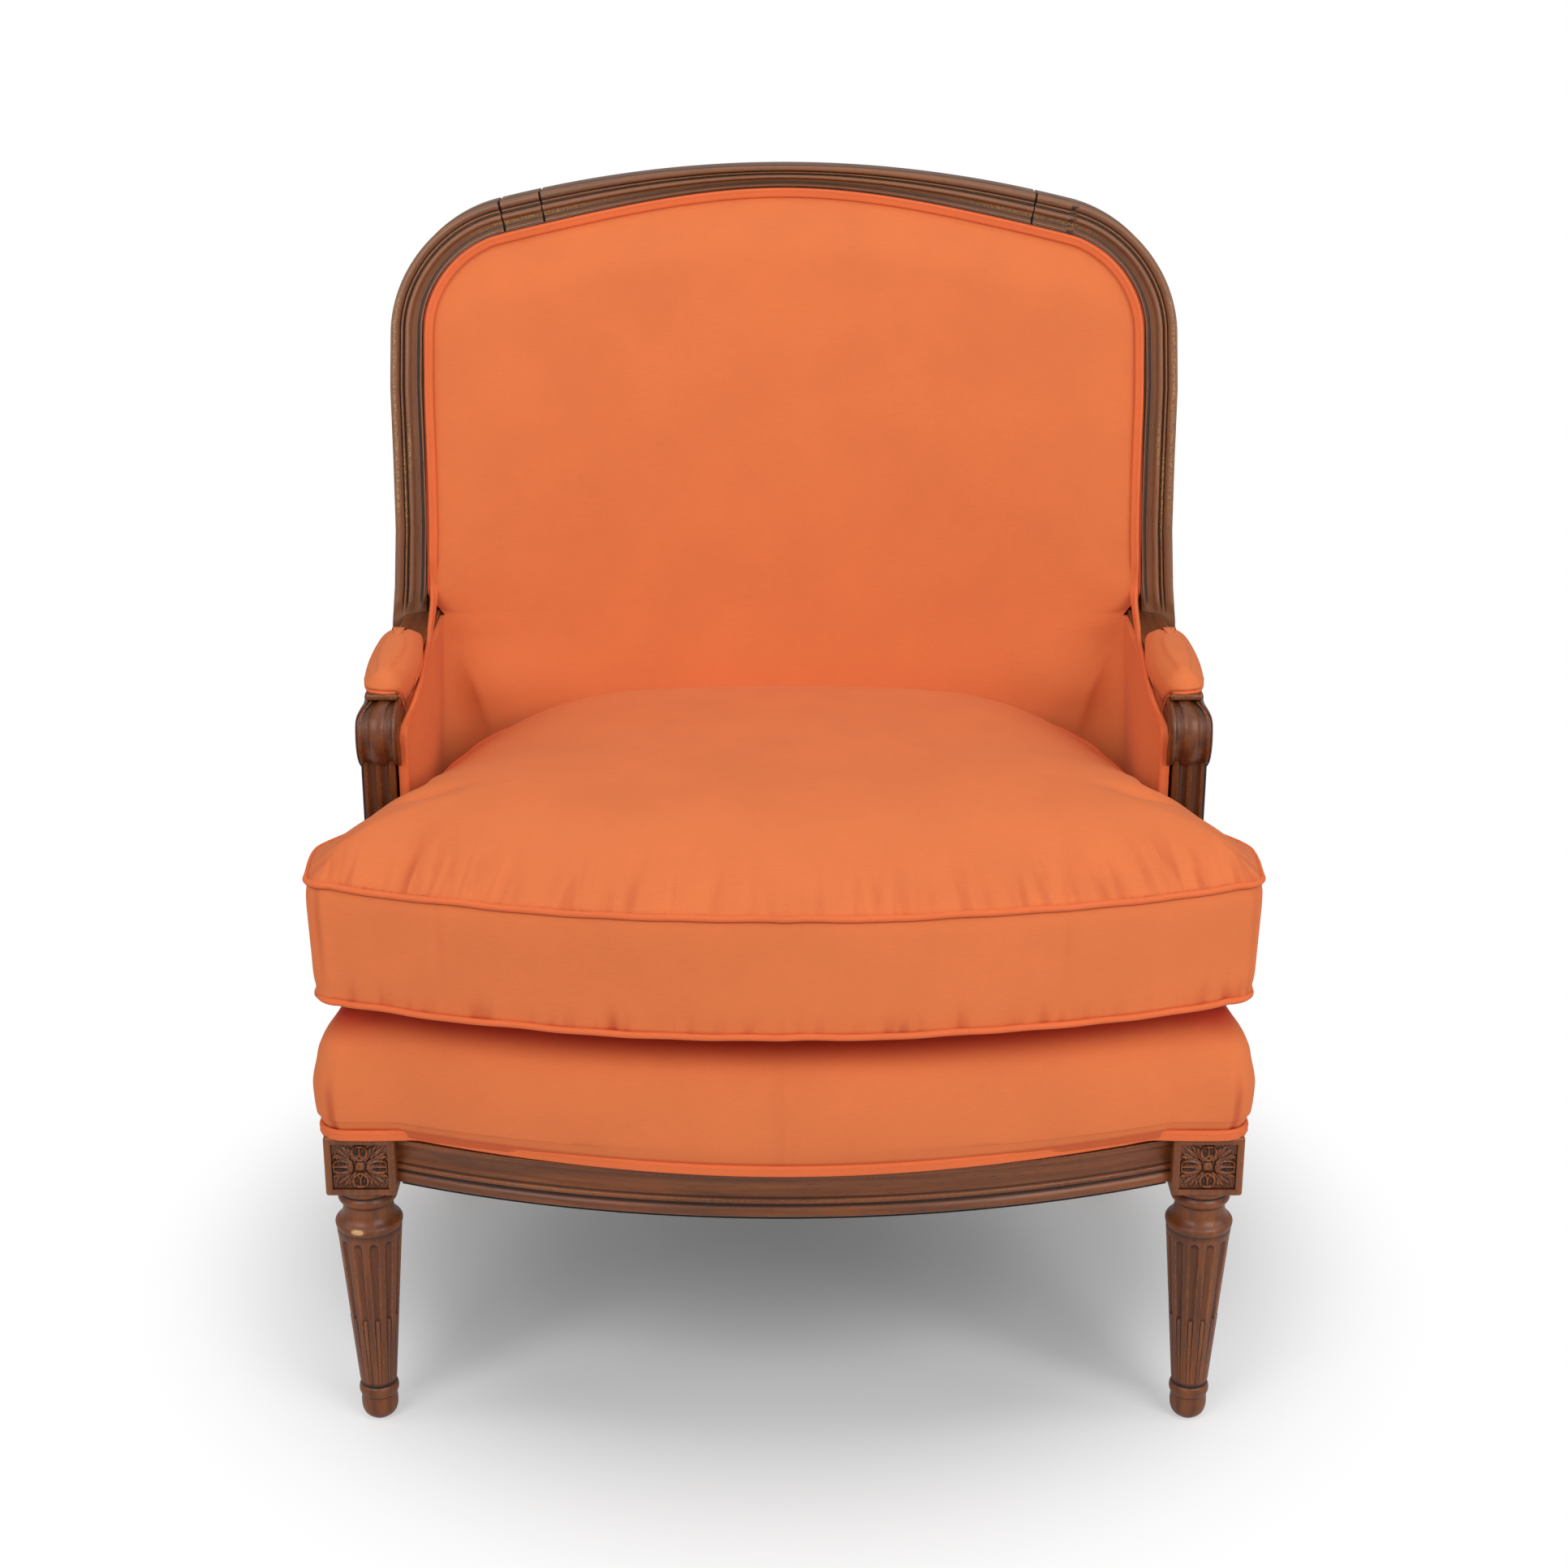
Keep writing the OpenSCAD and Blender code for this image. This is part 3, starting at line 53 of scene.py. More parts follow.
# Studio: a white floor that runs out into a white room, with soft light from the front and from above.
# The floor keeps the shadow of the chair, and only what the camera sees of it is lifted to white.
class Shade:
    """A socket among a finish's nodes, so that a shade is written as plain arithmetic."""

    def __init__(self, tree, socket=None):
        self.tree = tree
        self.socket = socket

    def node(self, kind, settings=(), sockets=(), out=0):
        """A node of that kind: its settings, then what its sockets hold, and the output that is used."""
        made = self.tree.nodes.new(kind)
        for name, value in dict(settings).items():
            setattr(made, name, value)
        for name, value in dict(sockets).items():
            if isinstance(value, Shade):
                self.tree.links.new(value.socket, made.inputs[name])
            else:
                made.inputs[name].default_value = value
        return Shade(self.tree, made.outputs[out])

    def math(self, operation, first, second=0.0):
        return self.node("ShaderNodeMath", {"operation": operation}, {0: first, 1: second})

    def __add__(self, other):
        return self.math("ADD", self, other)

    def __sub__(self, other):
        return self.math("SUBTRACT", self, other)

    def __mul__(self, other):
        return self.math("MULTIPLY", self, other)

    __radd__ = __add__
    __rmul__ = __mul__

    def stretched(self, scales):
        """The pattern's place, with each direction scaled."""
        return self.node("ShaderNodeVectorMath", {"operation": "MULTIPLY"}, {0: self, 1: scales})

    def noise(self, scale=1.0, detail=2.0, roughness=0.5, distortion=0.0):
        """Soft noise from 0 to 1 at this place."""
        return self.node("ShaderNodeTexNoise", {}, {
            "Vector": self, "Scale": scale, "Detail": detail, "Roughness": roughness, "Distortion": distortion})

    def between(self, low, high):
        """0 below low, 1 above high, and smooth between them."""
        return self.node("ShaderNodeMapRange", {"interpolation_type": "SMOOTHSTEP"}, {
            "Value": self, "From Min": low, "From Max": high}, "Result")

    def tint(self, first, second):
        """A colour between the two, by this share."""
        return self.node("ShaderNodeMix", {"data_type": "RGBA"}, {0: self, 6: paint(first), 7: paint(second)}, 2)

    def woven(self, thread):
        """Threads of that width that run over and under each other along this place, from -1 to 1."""
        ways = [self.node("ShaderNodeSeparateXYZ", {}, {0: self}, way) * (math.pi / thread) for way in ("X", "Y")]
        return self.math("SINE", ways[0]) * self.math("SINE", ways[1])

    def relief(self, strength, distance):
        """Fine relief of this height, for a surface's Normal."""
        return self.node("ShaderNodeBump", {}, {"Strength": strength, "Distance": distance, "Height": self})

    def attribute(self, name, out="Fac"):
        """What a piece's own points carry under this name."""
        return self.node("ShaderNodeAttribute", {"attribute_name": name}, {}, out)


def paint(colour):
    """A colour written as it looks on a screen, from 0 to 255, as the light that it stands for."""
    if isinstance(colour, Shade):
        return colour
    return (*(((c / 255 + 0.055) / 1.055) ** 2.4 if c > 10 else c / 255 / 12.92 for c in colour), 1)


def start_finish(name):
    """A new material and the empty shade that its nodes grow from."""
    material = bpy.data.materials.new(name)
    material.use_nodes = True
    material.node_tree.nodes.clear()
    return material, Shade(material.node_tree)


def end_finish(shade, surface):
    """Ends a finish with a surface: a shade, or what the sockets of a Principled one hold."""
    if not isinstance(surface, Shade):
        surface = shade.node("ShaderNodeBsdfPrincipled", {}, surface)
    output = shade.tree.nodes.new("ShaderNodeOutputMaterial")
    shade.tree.links.new(surface.socket, output.inputs["Surface"])


bpy.ops.mesh.primitive_circle_add(vertices=128, radius=6, fill_type="NGON", location=(0, 0, -0.0003))
floor = bpy.context.object
floor.name = "studio_floor"
floor_white, shade = start_finish("floor_white")
spot = shade.node("ShaderNodeMapping", {}, {
    "Vector": shade.node("ShaderNodeTexCoord", out="Object"), "Location": (0, -0.08, 0), "Scale": (1.66, 1.62, 0)})
away = shade.node("ShaderNodeVectorMath", {"operation": "LENGTH"}, {0: spot}, "Value").between(0.5, 1.0)
seen = shade.node("ShaderNodeLightPath", out="Is Camera Ray")
lit = shade.node("ShaderNodeBsdfDiffuse", {}, {"Color": paint((236, 236, 236))})
lift = shade.node("ShaderNodeEmission", {}, {"Color": (1, 1, 1, 1), "Strength": seen * 0.01})
white = shade.node("ShaderNodeEmission", {}, {"Color": (1, 1, 1, 1), "Strength": 1.0})
floor_surface = shade.node("ShaderNodeAddShader", {}, {0: lit, 1: lift})
end_finish(shade, shade.node("ShaderNodeMixShader", {}, {0: away * seen, 1: floor_surface, 2: white}))
floor.data.materials.append(floor_white)

room = bpy.data.worlds.new("white_room")
bpy.context.scene.world = room
room.use_nodes = True
room.node_tree.nodes.clear()
shade = Shade(room.node_tree)
path = {ray: shade.node("ShaderNodeLightPath", out=ray)
        for ray in ("Is Camera Ray", "Is Glossy Ray", "Is Transmission Ray")}
direct = shade.math("MAXIMUM", path["Is Camera Ray"], path["Is Transmission Ray"])
glow = 0.31 + direct * 0.69 + path["Is Glossy Ray"] * 0.1
sky = shade.node("ShaderNodeBackground", {}, {"Color": (1, 1, 1, 1), "Strength": glow})
room.node_tree.links.new(sky.socket, room.node_tree.nodes.new("ShaderNodeOutputWorld").inputs["Surface"])


def softbox(name, place, aim, size, watts):
    """A square lamp of that size in metres, turned towards the aim."""
    bpy.ops.object.light_add(type="AREA", location=place)
    lamp = bpy.context.object
    lamp.name = name
    lamp.data.size = size
    lamp.data.energy = watts
    lamp.rotation_euler = (Vector(aim) - Vector(place)).to_track_quat("-Z", "Y").to_euler()


softbox("lamp_front_left", (-1.5, -2.3, 2.3), (0, 0, 0.45), 1.5, 33)
softbox("lamp_front_right", (1.7, -2.1, 2.0), (0, 0, 0.45), 1.5, 38)
softbox("lamp_above", (0, -0.3, 2.7), (0, 0, 0.4), 1.8, 12)
softbox("lamp_left", (-2.2, -0.5, 1.5), (0, 0, 0.5), 0.9, 6)
softbox("lamp_right", (2.2, -0.5, 1.5), (0, 0, 0.5), 0.9, 6)


# Front legs: one turned and fluted piece of walnut each, left square at the top for the rail joints.
# Both outer faces of the square are sunk and carved with a rosette, and rods fill the foot of each flute.
LEGS_Y = 245.15


def metres(points):
    """Drawing sizes in mm, with y from the plane of the front legs, as places in the model."""
    return (np.asarray(points, float) - (0, LEGS_Y, 0)) / 1000


def smooth(t):
    t = np.clip(t, 0, 1)
    return t * t * (3 - 2 * t)


def softened(outline, passes=2):
    """The outline with its corners cut, as a scraper leaves them."""
    points = np.asarray(outline, float)
    for _ in range(passes):
        cut = np.stack([0.75 * points[:-1] + 0.25 * points[1:], 0.25 * points[:-1] + 0.75 * points[1:]], 1)
        points = np.concatenate([points[:1], cut.reshape(-1, points.shape[1]), points[-1:]])
    return points


def picked(*pieces):
    """Selects these pieces alone, to work on the first."""
    bpy.ops.object.select_all(action="DESELECT")
    for piece in pieces:
        piece.select_set(True)
    bpy.context.view_layer.objects.active = pieces[0]


def finished(piece, angle):
    """Faces outward and smooth, with the edges sharper than the angle kept."""
    picked(piece)
    bpy.ops.object.mode_set(mode="EDIT")
    bpy.ops.mesh.select_all(action="SELECT")
    bpy.ops.mesh.normals_make_consistent(inside=False)
    bpy.ops.object.mode_set(mode="OBJECT")
    bpy.ops.object.shade_smooth_by_angle(angle=math.radians(angle))
    return piece


def drawn_out(name, rings, looped=False):
    """A solid drawn out of its first section: ring after ring is extruded and set in its place, in drawing mm."""
    rings = metres(rings)
    count = rings.shape[1]
    if looped:
        rings = np.concatenate([rings, rings[:1]])
    fill = "NOTHING" if looped else "NGON"
    bpy.ops.mesh.primitive_circle_add(vertices=count, radius=0.02, fill_type=fill)
    piece = bpy.context.object
    piece.name = piece.data.name = name
    bpy.ops.object.mode_set(mode="EDIT")
    bpy.ops.mesh.select_all(action="SELECT")
    for step, ring in enumerate(rings):
        if step:
            bpy.ops.mesh.extrude_region_move()
        shape = bmesh.from_edit_mesh(piece.data)
        shape.verts.ensure_lookup_table()
        for corner, place in zip(shape.verts[len(shape.verts) - count:], ring):
            corner.co = place
    bmesh.update_edit_mesh(piece.data)
    bpy.ops.object.mode_set(mode="OBJECT")
    return piece


def carry(piece, name, values):
    """Stores a number, or a place, on every point of a piece for its finish to read."""
    values = np.asarray(values, np.float32)
    kind, field = ("FLOAT_VECTOR", "vector") if values.ndim == 2 else ("FLOAT", "value")
    kept = piece.data.attributes.get(name) or piece.data.attributes.new(name, kind, "POINT")
    kept.data.foreach_set(field, values.ravel())


def places(piece):
    """The places of a piece's points, in metres."""
    flat = np.zeros(len(piece.data.vertices) * 3, np.float32)
    piece.data.vertices.foreach_get("co", flat)
    return flat.reshape(-1, 3).astype(float)


def set_places(piece, spots):
    piece.data.vertices.foreach_set("co", np.asarray(spots, np.float32).ravel())


def joined(name, *pieces):
    """Several worked parts of one real piece, as one object."""
    picked(*pieces)
    bpy.ops.object.join()
    pieces[0].name = pieces[0].data.name = name
    return pieces[0]


def wear_and_shade_marked(piece):
    """Marks the hollows, painted dark both for the dirt and old wax that lie in them and as painted shade, and the
    proud edges, which hands have rubbed bare.
    """
    mesh = piece.data
    here = places(piece)
    flat = np.zeros(len(here) * 3, np.float32)
    mesh.vertices.foreach_get("normal", flat)
    normals = flat.reshape(-1, 3).astype(float)
    pairs = np.zeros(len(mesh.edges) * 2, np.int32)
    mesh.edges.foreach_get("vertices", pairs)
    a, b = pairs.reshape(-1, 2).T

    def gathered(on_a, on_b):
        return np.bincount(a, on_a, len(here)) + np.bincount(b, on_b, len(here))

    step = here[b] - here[a]
    reach = np.maximum((step ** 2).sum(1), 1e-10)
    met = np.maximum(gathered(None, None), 1)
    bend = gathered((step * normals[a]).sum(1) / reach, -(step * normals[b]).sum(1) / reach) / met
    for _ in range(2):
        bend = 0.5 * bend + 0.5 * gathered(bend[b], bend[a]) / met
    carry(piece, "hollow", smooth(bend / 160))
    carry(piece, "proud", smooth(-bend / 260))


def mirrored(piece, name):
    """The same piece for the other side of the chair, with its own mesh."""
    picked(piece)
    bpy.ops.object.duplicate(linked=False)
    twin = bpy.context.object
    twin.name = twin.data.name = name
    set_places(twin, places(twin) * (-1, 1, 1))
    twin.data.flip_normals()
    return twin


def hand_over(piece, finish, slot, *nodes, body="chair"):
    """Gives a piece its finish and says what it moves with and the nodes that it stands for. Its slot is not used."""
    piece.data.materials.append(finish)
    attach(piece, body)
    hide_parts(*nodes)


def walnut_finish(name, grain=None, dust=0.0, dark=0.0):
    """Old waxed walnut. The grain runs with the piece's own grain places, or along the scaled Object places."""
    material, shade = start_finish(name)
    on_object = shade.node("ShaderNodeTexCoord", out="Object")
    run = on_object.stretched(grain) if grain else shade.attribute("grain", "Vector").stretched((0.06, 1, 1))
    figure = run.noise(85, 4, 0.55, 0.6).between(0.3, 0.72)
    streak = run.noise(420, 3, 0.6).between(0.35, 0.75)
    pores = run.noise(1500, 2, 0.5).between(0.58, 0.72)
    patch = on_object.noise(9, 3, 0.6).between(0.3, 0.7)
    speckle = on_object.noise(620, 3, 0.65)
    hollow = shade.attribute("hollow")
    wood = figure.tint((76, 40, 18), (136, 76, 34))
    for share, colour in ((streak * 0.55, (94, 47, 19)),
                          (patch * 0.45, (126, 62, 24)),
                          (shade.math("ADD", dust), (140, 104, 76)),
                          (shade.math("ADD", dark), (44, 22, 12)),
                          (pores * 0.55, (42, 24, 16)),
                          # Painted dark in the hollows: the dirt and old wax there, and painted shade as well.
                          (hollow * (0.7 + speckle * 0.7), (30, 16, 12)),
                          (shade.attribute("proud") * speckle.between(0.42, 0.6) * 0.8, (160, 92, 44)),
                          (shade.attribute("gilt") * speckle.between(0.5, 0.56) * 0.85, (186, 148, 82)),
                          (shade.attribute("bare"), (205, 160, 104))):
        wood = share.tint(wood, colour)
    height = streak * 0.25 - pores * 0.5 + figure * 0.2 + speckle * 0.2
    end_finish(shade, {
        "Base Color": wood, "Roughness": 0.34 + hollow * 0.3 + speckle * 0.14, "Normal": height.relief(0.22, 0.0004),
        "Coat Weight": 0.1, "Coat Roughness": 0.2, "Specular IOR Level": 0.4})
    return material


walnut = walnut_finish("waxed_walnut")
worn_walnut = walnut_finish("worn_walnut", dust=0.42)
dark_walnut = walnut_finish("dark_walnut", dark=0.22)

LEG_X, HEAD_Z, HEAD_HALF = -332, 240.7, 28
SUNK = 2.6
LEG_FOOT = [(8, 0), (12.6, 3.5), (14.7, 9), (14.9, 16), (14, 21.5), (15.6, 23), (16.2, 26.5), (15.6, 30), (14.4, 31.5)]
LEG_HEAD = [(26, 177), (26.8, 179.5), (26.8, 182.5), (22.6, 186), (20.2, 191), (19.7, 198), (21.5, 199.5),
            (23.6, 202), (23.6, 205), (21.6, 207.5), (21.6, 208.5), (24, 210.5), (24.7, 213.5), (24, 216), (22, 217.5)]
shaft_zs = np.concatenate([np.linspace(33, 90, 18), np.linspace(91.5, 99, 8), np.linspace(103, 158, 14),
                           np.linspace(160, 172, 13)])
shaft = [(14.4 + 11.6 * (z - 31.5) / 145.5, z) for z in shaft_zs]
turned = np.concatenate([softened(LEG_FOOT), shaft, softened(LEG_HEAD)])
share = np.array([-1, -0.82, -0.68, -0.61, -0.55, -0.48, -0.38, -0.26, -0.13, 0, 0.13, 0.26, 0.38, 0.48, 0.55,
                  0.61, 0.68, 0.82])
FLUTES = 12
half_flute = math.pi / FLUTES
around = np.concatenate([half_flute * (share + 2 * k + 1) for k in range(FLUTES)])
offset = np.tile(half_flute * share, FLUTES)
rings = []
for radius, z in turned:
    cut = np.full(len(around), radius)
    if 34 <= z <= 172:
        tool = 2.6 + 1.9 * (z - 37) / 129.5
        tool = math.sqrt(max(tool ** 2 - max(z - 166, 0) ** 2 - max(37 - z, 0) ** 2 * 4, 0))
        side = (radius + 1.9) * np.sin(offset)
        bite = (radius + 1.9) * np.cos(offset) - np.sqrt(np.maximum(tool ** 2 - side ** 2, 0))
        cut = np.where(np.abs(side) < tool, np.minimum(cut, bite), cut)
        rod = 1.8 + 0.8 * (z - 34) / 60
        rod = math.sqrt(max(rod ** 2 - max(z - 94, 0) ** 2, 0))
        core = radius + 0.25 - rod
        side = core * np.sin(offset)
        swell = core * np.cos(offset) + np.sqrt(np.maximum(rod ** 2 - side ** 2, 0))
        cut = np.where(np.abs(side) < rod, np.maximum(cut, swell), cut)
    rings.append(np.stack([cut * np.cos(around) + LEG_X, cut * np.sin(around), np.full(len(around), z)], 1))
turning = drawn_out("turning", rings)


def sawn_block(middle, size):
    """A plain block of that size round its middle, in drawing mm."""
    bpy.ops.mesh.primitive_cube_add(size=1, location=metres(middle))
    block = bpy.context.object
    block.scale = tuple(np.asarray(size) / 1000)
    bpy.ops.object.transform_apply(location=True, rotation=False, scale=True)
    return block


# The square head: a sawn block, its two outer faces inset and sunk for the carving.
head = sawn_block((LEG_X, 0, HEAD_Z), (2 * HEAD_HALF, 2 * HEAD_HALF, 51))
bpy.ops.object.mode_set(mode="EDIT")
for facing in ((0, -1, 0), (-1, 0, 0)):
    bpy.ops.mesh.select_all(action="DESELECT")
    bpy.ops.mesh.select_mode(type="FACE")
    shape = bmesh.from_edit_mesh(head.data)
    for face in shape.faces:
        face.select = face.normal.dot(Vector(facing)) > 0.99 and face.calc_area() > 0.001
    bmesh.update_edit_mesh(head.data)
    bpy.ops.mesh.inset(thickness=0.0058)
    bpy.ops.mesh.extrude_region_move(TRANSFORM_OT_translate={"value": tuple(-SUNK / 1000 * f for f in facing)})
    bpy.ops.mesh.inset(thickness=0.0004)
    bpy.ops.mesh.delete(type="FACE")
bpy.ops.mesh.select_all(action="DESELECT")
bpy.ops.mesh.select_mode(type="EDGE")
shape = bmesh.from_edit_mesh(head.data)
for edge in shape.edges:
    ends = np.array([v.co for v in edge.verts]) * 1000 - (LEG_X, -LEGS_Y, HEAD_Z - 25.5)
    upright = np.abs(np.abs(ends[:, :2]) - HEAD_HALF) < 0.01
    foot = np.abs(ends[:, 2]) < 0.01
    edge.select = bool(upright.all() or foot.all())
bmesh.update_edit_mesh(head.data)
bpy.ops.mesh.bevel(offset=0.0022, segments=4, affect="EDGES")
bpy.ops.object.mode_set(mode="OBJECT")


def on_line(u, v, angle, start, end):
    """How far each place lies along a line out of the middle, from 0 to 1, and how far beside it."""
    c, s = math.cos(math.radians(angle)), math.sin(math.radians(angle))
    return (u * c + v * s - start) / (end - start), v * c - u * s


def leaf(u, v, angle, start, end, width, height, scoop, bend=0.0):
    """Height of one carved leaf: drawn out from the middle, ribbed, scooped, and raised at its rim."""
    along, across = on_line(u, v, angle, start, end)
    across = across - bend * np.clip(along, 0, 1) ** 2
    inside = np.clip(along, 0.001, 0.999)
    half = width * np.sin(math.pi * inside ** 0.75) ** 0.62
    edge = np.clip((half - np.abs(across)) / 0.7, 0, 1) * (along > 0) * (along < 1)
    cup = np.clip(np.abs(across) / np.maximum(half, 0.1), 0, 1)
    dish = 1 - scoop * (1 - cup ** 2) * smooth((inside - 0.3) / 0.3)
    rib = 0.45 * np.exp(-(across / 0.55) ** 2)
    return height * smooth(edge) * (dish + rib * scoop * 1.6)


def petal(u, v, angle, start, end, width, ground):
    """One broad petal over what is carved behind it: two scoops with a rib between, inside a curled rim."""
    along, across = on_line(u, v, angle, start, end)
    across = np.abs(across)
    opening = np.sin(math.pi / 2 * np.clip(along / 0.6, 0, 1)) ** 0.85
    closing = np.sqrt(np.clip(1 - (np.clip(along - 0.6, 0, 1) / 0.4) ** 2, 0, 1))
    half = (1.1 + (width - 1.1) * opening) * closing
    inside = smooth((half - across) / 0.8) * (along > 0) * (along < 1)
    rim = np.maximum(smooth((across / np.maximum(half, 0.2) - 0.5) / 0.3), smooth((along - 0.8) / 0.14))
    rib = np.exp(-(across / (0.7 + 0.9 * np.clip(1 - along, 0, 1))) ** 2)
    scoop = smooth((along - 0.12) / 0.4) * (1 - np.maximum(rim, rib))
    return ground * (1 - inside) + inside * (2.9 - 2.3 * scoop)


def rosette(name, wide, high):
    """The carved panel, and its points in mm: across, up, and out of the sunk ground."""
    bpy.ops.mesh.primitive_grid_add(x_subdivisions=112, y_subdivisions=94, size=1, location=(0, 0, 0))
    carving = bpy.context.object
    carving.name = name
    flat = places(carving) * (wide, high, 0)
    u, v = flat[:, 0], flat[:, 1]
    relief = np.zeros(len(u))
    for corner in (40, 140, 220, 320):
        for fan in (-11, 1, 13):
            relief = np.maximum(relief, leaf(u, v, corner + fan, 10, 25 - abs(fan) * 0.15, 1.9, 1.0, 0.2))
    for angle, side in ((0, 1), (0, -1), (180, 1), (180, -1)):
        relief = np.maximum(relief, leaf(u, v, angle + side * 27, 6, 24.5, 2.4, 1.9, 0.3, side * -2.2))
    for angle, side in ((90, 1), (90, -1), (270, 1), (270, -1)):
        relief = np.maximum(relief, leaf(u, v, angle + side * 34, 5.5, 19.5, 2.3, 1.9, 0.3, side * -1.6))
    for angle, far, half in ((0, 22.4, 6.4), (180, 22.4, 6.4), (90, 18, 7.2), (270, 18, 7.2)):
        relief = petal(u, v, angle, 4.6, far, half, relief)
    for side in (-1, 1):
        relief -= 2.2 * smooth((1.2 - np.hypot(u, v - side * 7.6)) / 0.6)
    out = np.hypot(u, v)
    relief = np.where(out < 5.2, 0.1 + 0 * out, relief)
    relief = np.maximum(relief, 2.1 * np.sqrt(np.clip(1 - (out / 4.1) ** 4, 0, 1)))
    border = smooth(np.minimum(wide / 2 - np.abs(u), high / 2 - np.abs(v)) / 0.9)
    flat[:, 2] = (relief + 0.12 * np.sin(u * 2.1 + v) * np.cos(v * 1.7)) * border
    return carving, flat


carvings = []
for facing in ("front", "side"):
    carving, flat = rosette("carving_" + facing, 43.6, 38.7)
    u, v, lift = flat.T
    out = HEAD_HALF - SUNK + lift
    cut = (LEG_X + u, -out, HEAD_Z + v) if facing == "front" else (LEG_X - out, -u, HEAD_Z + v)
    set_places(carving, metres(np.stack(cut, 1)))
    carvings.append(carving)

leg_left = finished(joined("front_leg_left_turned", turning, head, *carvings), 40)
here = places(leg_left)
carry(leg_left, "grain", here[:, [2, 0, 1]])
wear_and_shade_marked(leg_left)
leg_right = mirrored(leg_left, "front_leg_right_turned")
chip = np.hypot((here[:, 0] + 0.3375) / 0.0052, (here[:, 2] - 0.1815) / 0.0021)
carry(leg_left, "bare", smooth((1.15 - chip) / 0.4) * (here[:, 1] < -0.26))
hand_over(leg_left, walnut, "walnut", "front_leg_left")
hand_over(leg_right, walnut, "walnut", "front_leg_right")


# Seat rails: the front and rear ones are sawn on a bow, and all but the rear one have a run moulding outside.
# Their tenons are glued into the squares of the legs, so the mouldings stop dead against the blocks.
RAIL_LOW, RAIL_TALL = 223, 43
FRONT_BOW, REAR_BOW = (825.7, 747.7), (-682.6, -268.6)
RAIL_FACE = [(-3, 0), (-0.9, 1), (0, 3), (-0.4, 6), (-2, 8.5), (-3.4, 9.3), (-3.6, 10.4), (-3.4, 11.2), (-1.3, 12),
             (-0.6, 13.8), (-1.3, 15.6), (-3.4, 16.4), (-3.7, 17.4), (-3.9, 18.4), (-5.2, 22), (-5.0, 28.5),
             (-3.4, 32.3), (-3.2, 33.2), (-1.4, 33.6), (-1.2, 34.2), (-1.2, 37.2), (-1.6, 37.8), (-6, 38),
             (-6, RAIL_TALL)]


def bowed_rail(name, bow, half, depth, face):
    """A rail on a bow of that radius and middle height in y: a positive radius bows it forwards."""
    radius, middle_y = bow
    section = np.concatenate([face, [(-depth, RAIL_TALL), (-depth, 0)]])
    rings, grain = [], []
    for x in np.linspace(-half, half, 61):
        turn = math.asin(x / abs(radius))
        out = (math.sin(turn), -math.copysign(math.cos(turn), radius))
        rings.append([(out[0] * (abs(radius) + o), middle_y + out[1] * (abs(radius) + o), RAIL_LOW + h)
                      for o, h in section])
        grain += [(turn * abs(radius) / 1000, o / 1000, h / 1000) for o, h in section]
    rings = np.array(rings)
    for end, x in ((0, -half), (-1, half)):
        rings[end, :, 0] = x
    piece = drawn_out(name, rings)
    carry(piece, "grain", grain)
    return piece


front_rail = bowed_rail("front_rail_moulded", FRONT_BOW, 304, 30, softened(RAIL_FACE))
rear_face = softened([(14, 0), (14, 0.6), (14, RAIL_TALL - 0.6), (14, RAIL_TALL)])
rear_rail = bowed_rail("rear_rail_bowed", REAR_BOW, 297, 14, rear_face)
side_section = np.concatenate([softened(RAIL_FACE), [(-36, RAIL_TALL), (-36, 0)]])
runs = np.linspace(28, 310, 8)
side_rail = drawn_out("side_rail_left_moulded", [[(-356 - o, y, RAIL_LOW + h) for o, h in side_section] for y in runs])
carry(side_rail, "grain", [(y / 1000 + 3, o / 1000, h / 1000) for y in runs for o, h in side_section])
for piece in (front_rail, rear_rail, side_rail):
    wear_and_shade_marked(finished(piece, 30))
side_twin = mirrored(side_rail, "side_rail_right_moulded")
for piece, node in ((front_rail, "front_seat_rail"), (rear_rail, "rear_seat_rail"),
                    (side_rail, "side_seat_rail_left"), (side_twin, "side_seat_rail_right")):
    hand_over(piece, walnut, "walnut", node)


# Back frame: each stile is one piece with its rear leg, and carries the run moulding up round the corner.
# A short splice block and the crest rail close the arch, dowelled at seams that have opened a little with age.
BACK_RADIUS = 687
CORNER_X, CORNER_Z, CORNER_RADIUS = 235.5, 814, 110
CREST_Z, CREST_RADIUS = 948, 1275


def gondola_y(x, z):
    """How far back the front of the back lies: part of a cylinder, leaning back as it rises."""
    return 470 - (BACK_RADIUS - np.sqrt(BACK_RADIUS ** 2 - np.square(x))) + 0.23 * (z - 570)


def outline_at(way):
    """The outer edge and the direction into the frame: a height on the stile, an angle at the corner, or an x."""
    kind, value = way
    if kind == "stile":
        sway = np.interp(value, (262, 560, 600, 650, 710, 770, CORNER_Z), (0.6, 3, 0, -1.5, -0.5, 1, 0))
        return np.array([CORNER_X + CORNER_RADIUS + sway, value]), np.array([-1.0, 0])
    if kind == "corner":
        turn = np.array([math.cos(math.radians(value)), math.sin(math.radians(value))])
        return np.array([CORNER_X, CORNER_Z]) + CORNER_RADIUS * turn, -turn
    rise = math.sqrt(CREST_RADIUS ** 2 - value ** 2)
    return np.array([value, CREST_Z - CREST_RADIUS + rise]), -np.array([value, rise]) / CREST_RADIUS


def moulding_width(x):
    return 27 - 8.5 * smooth((CORNER_X - abs(x)) / CORNER_X)


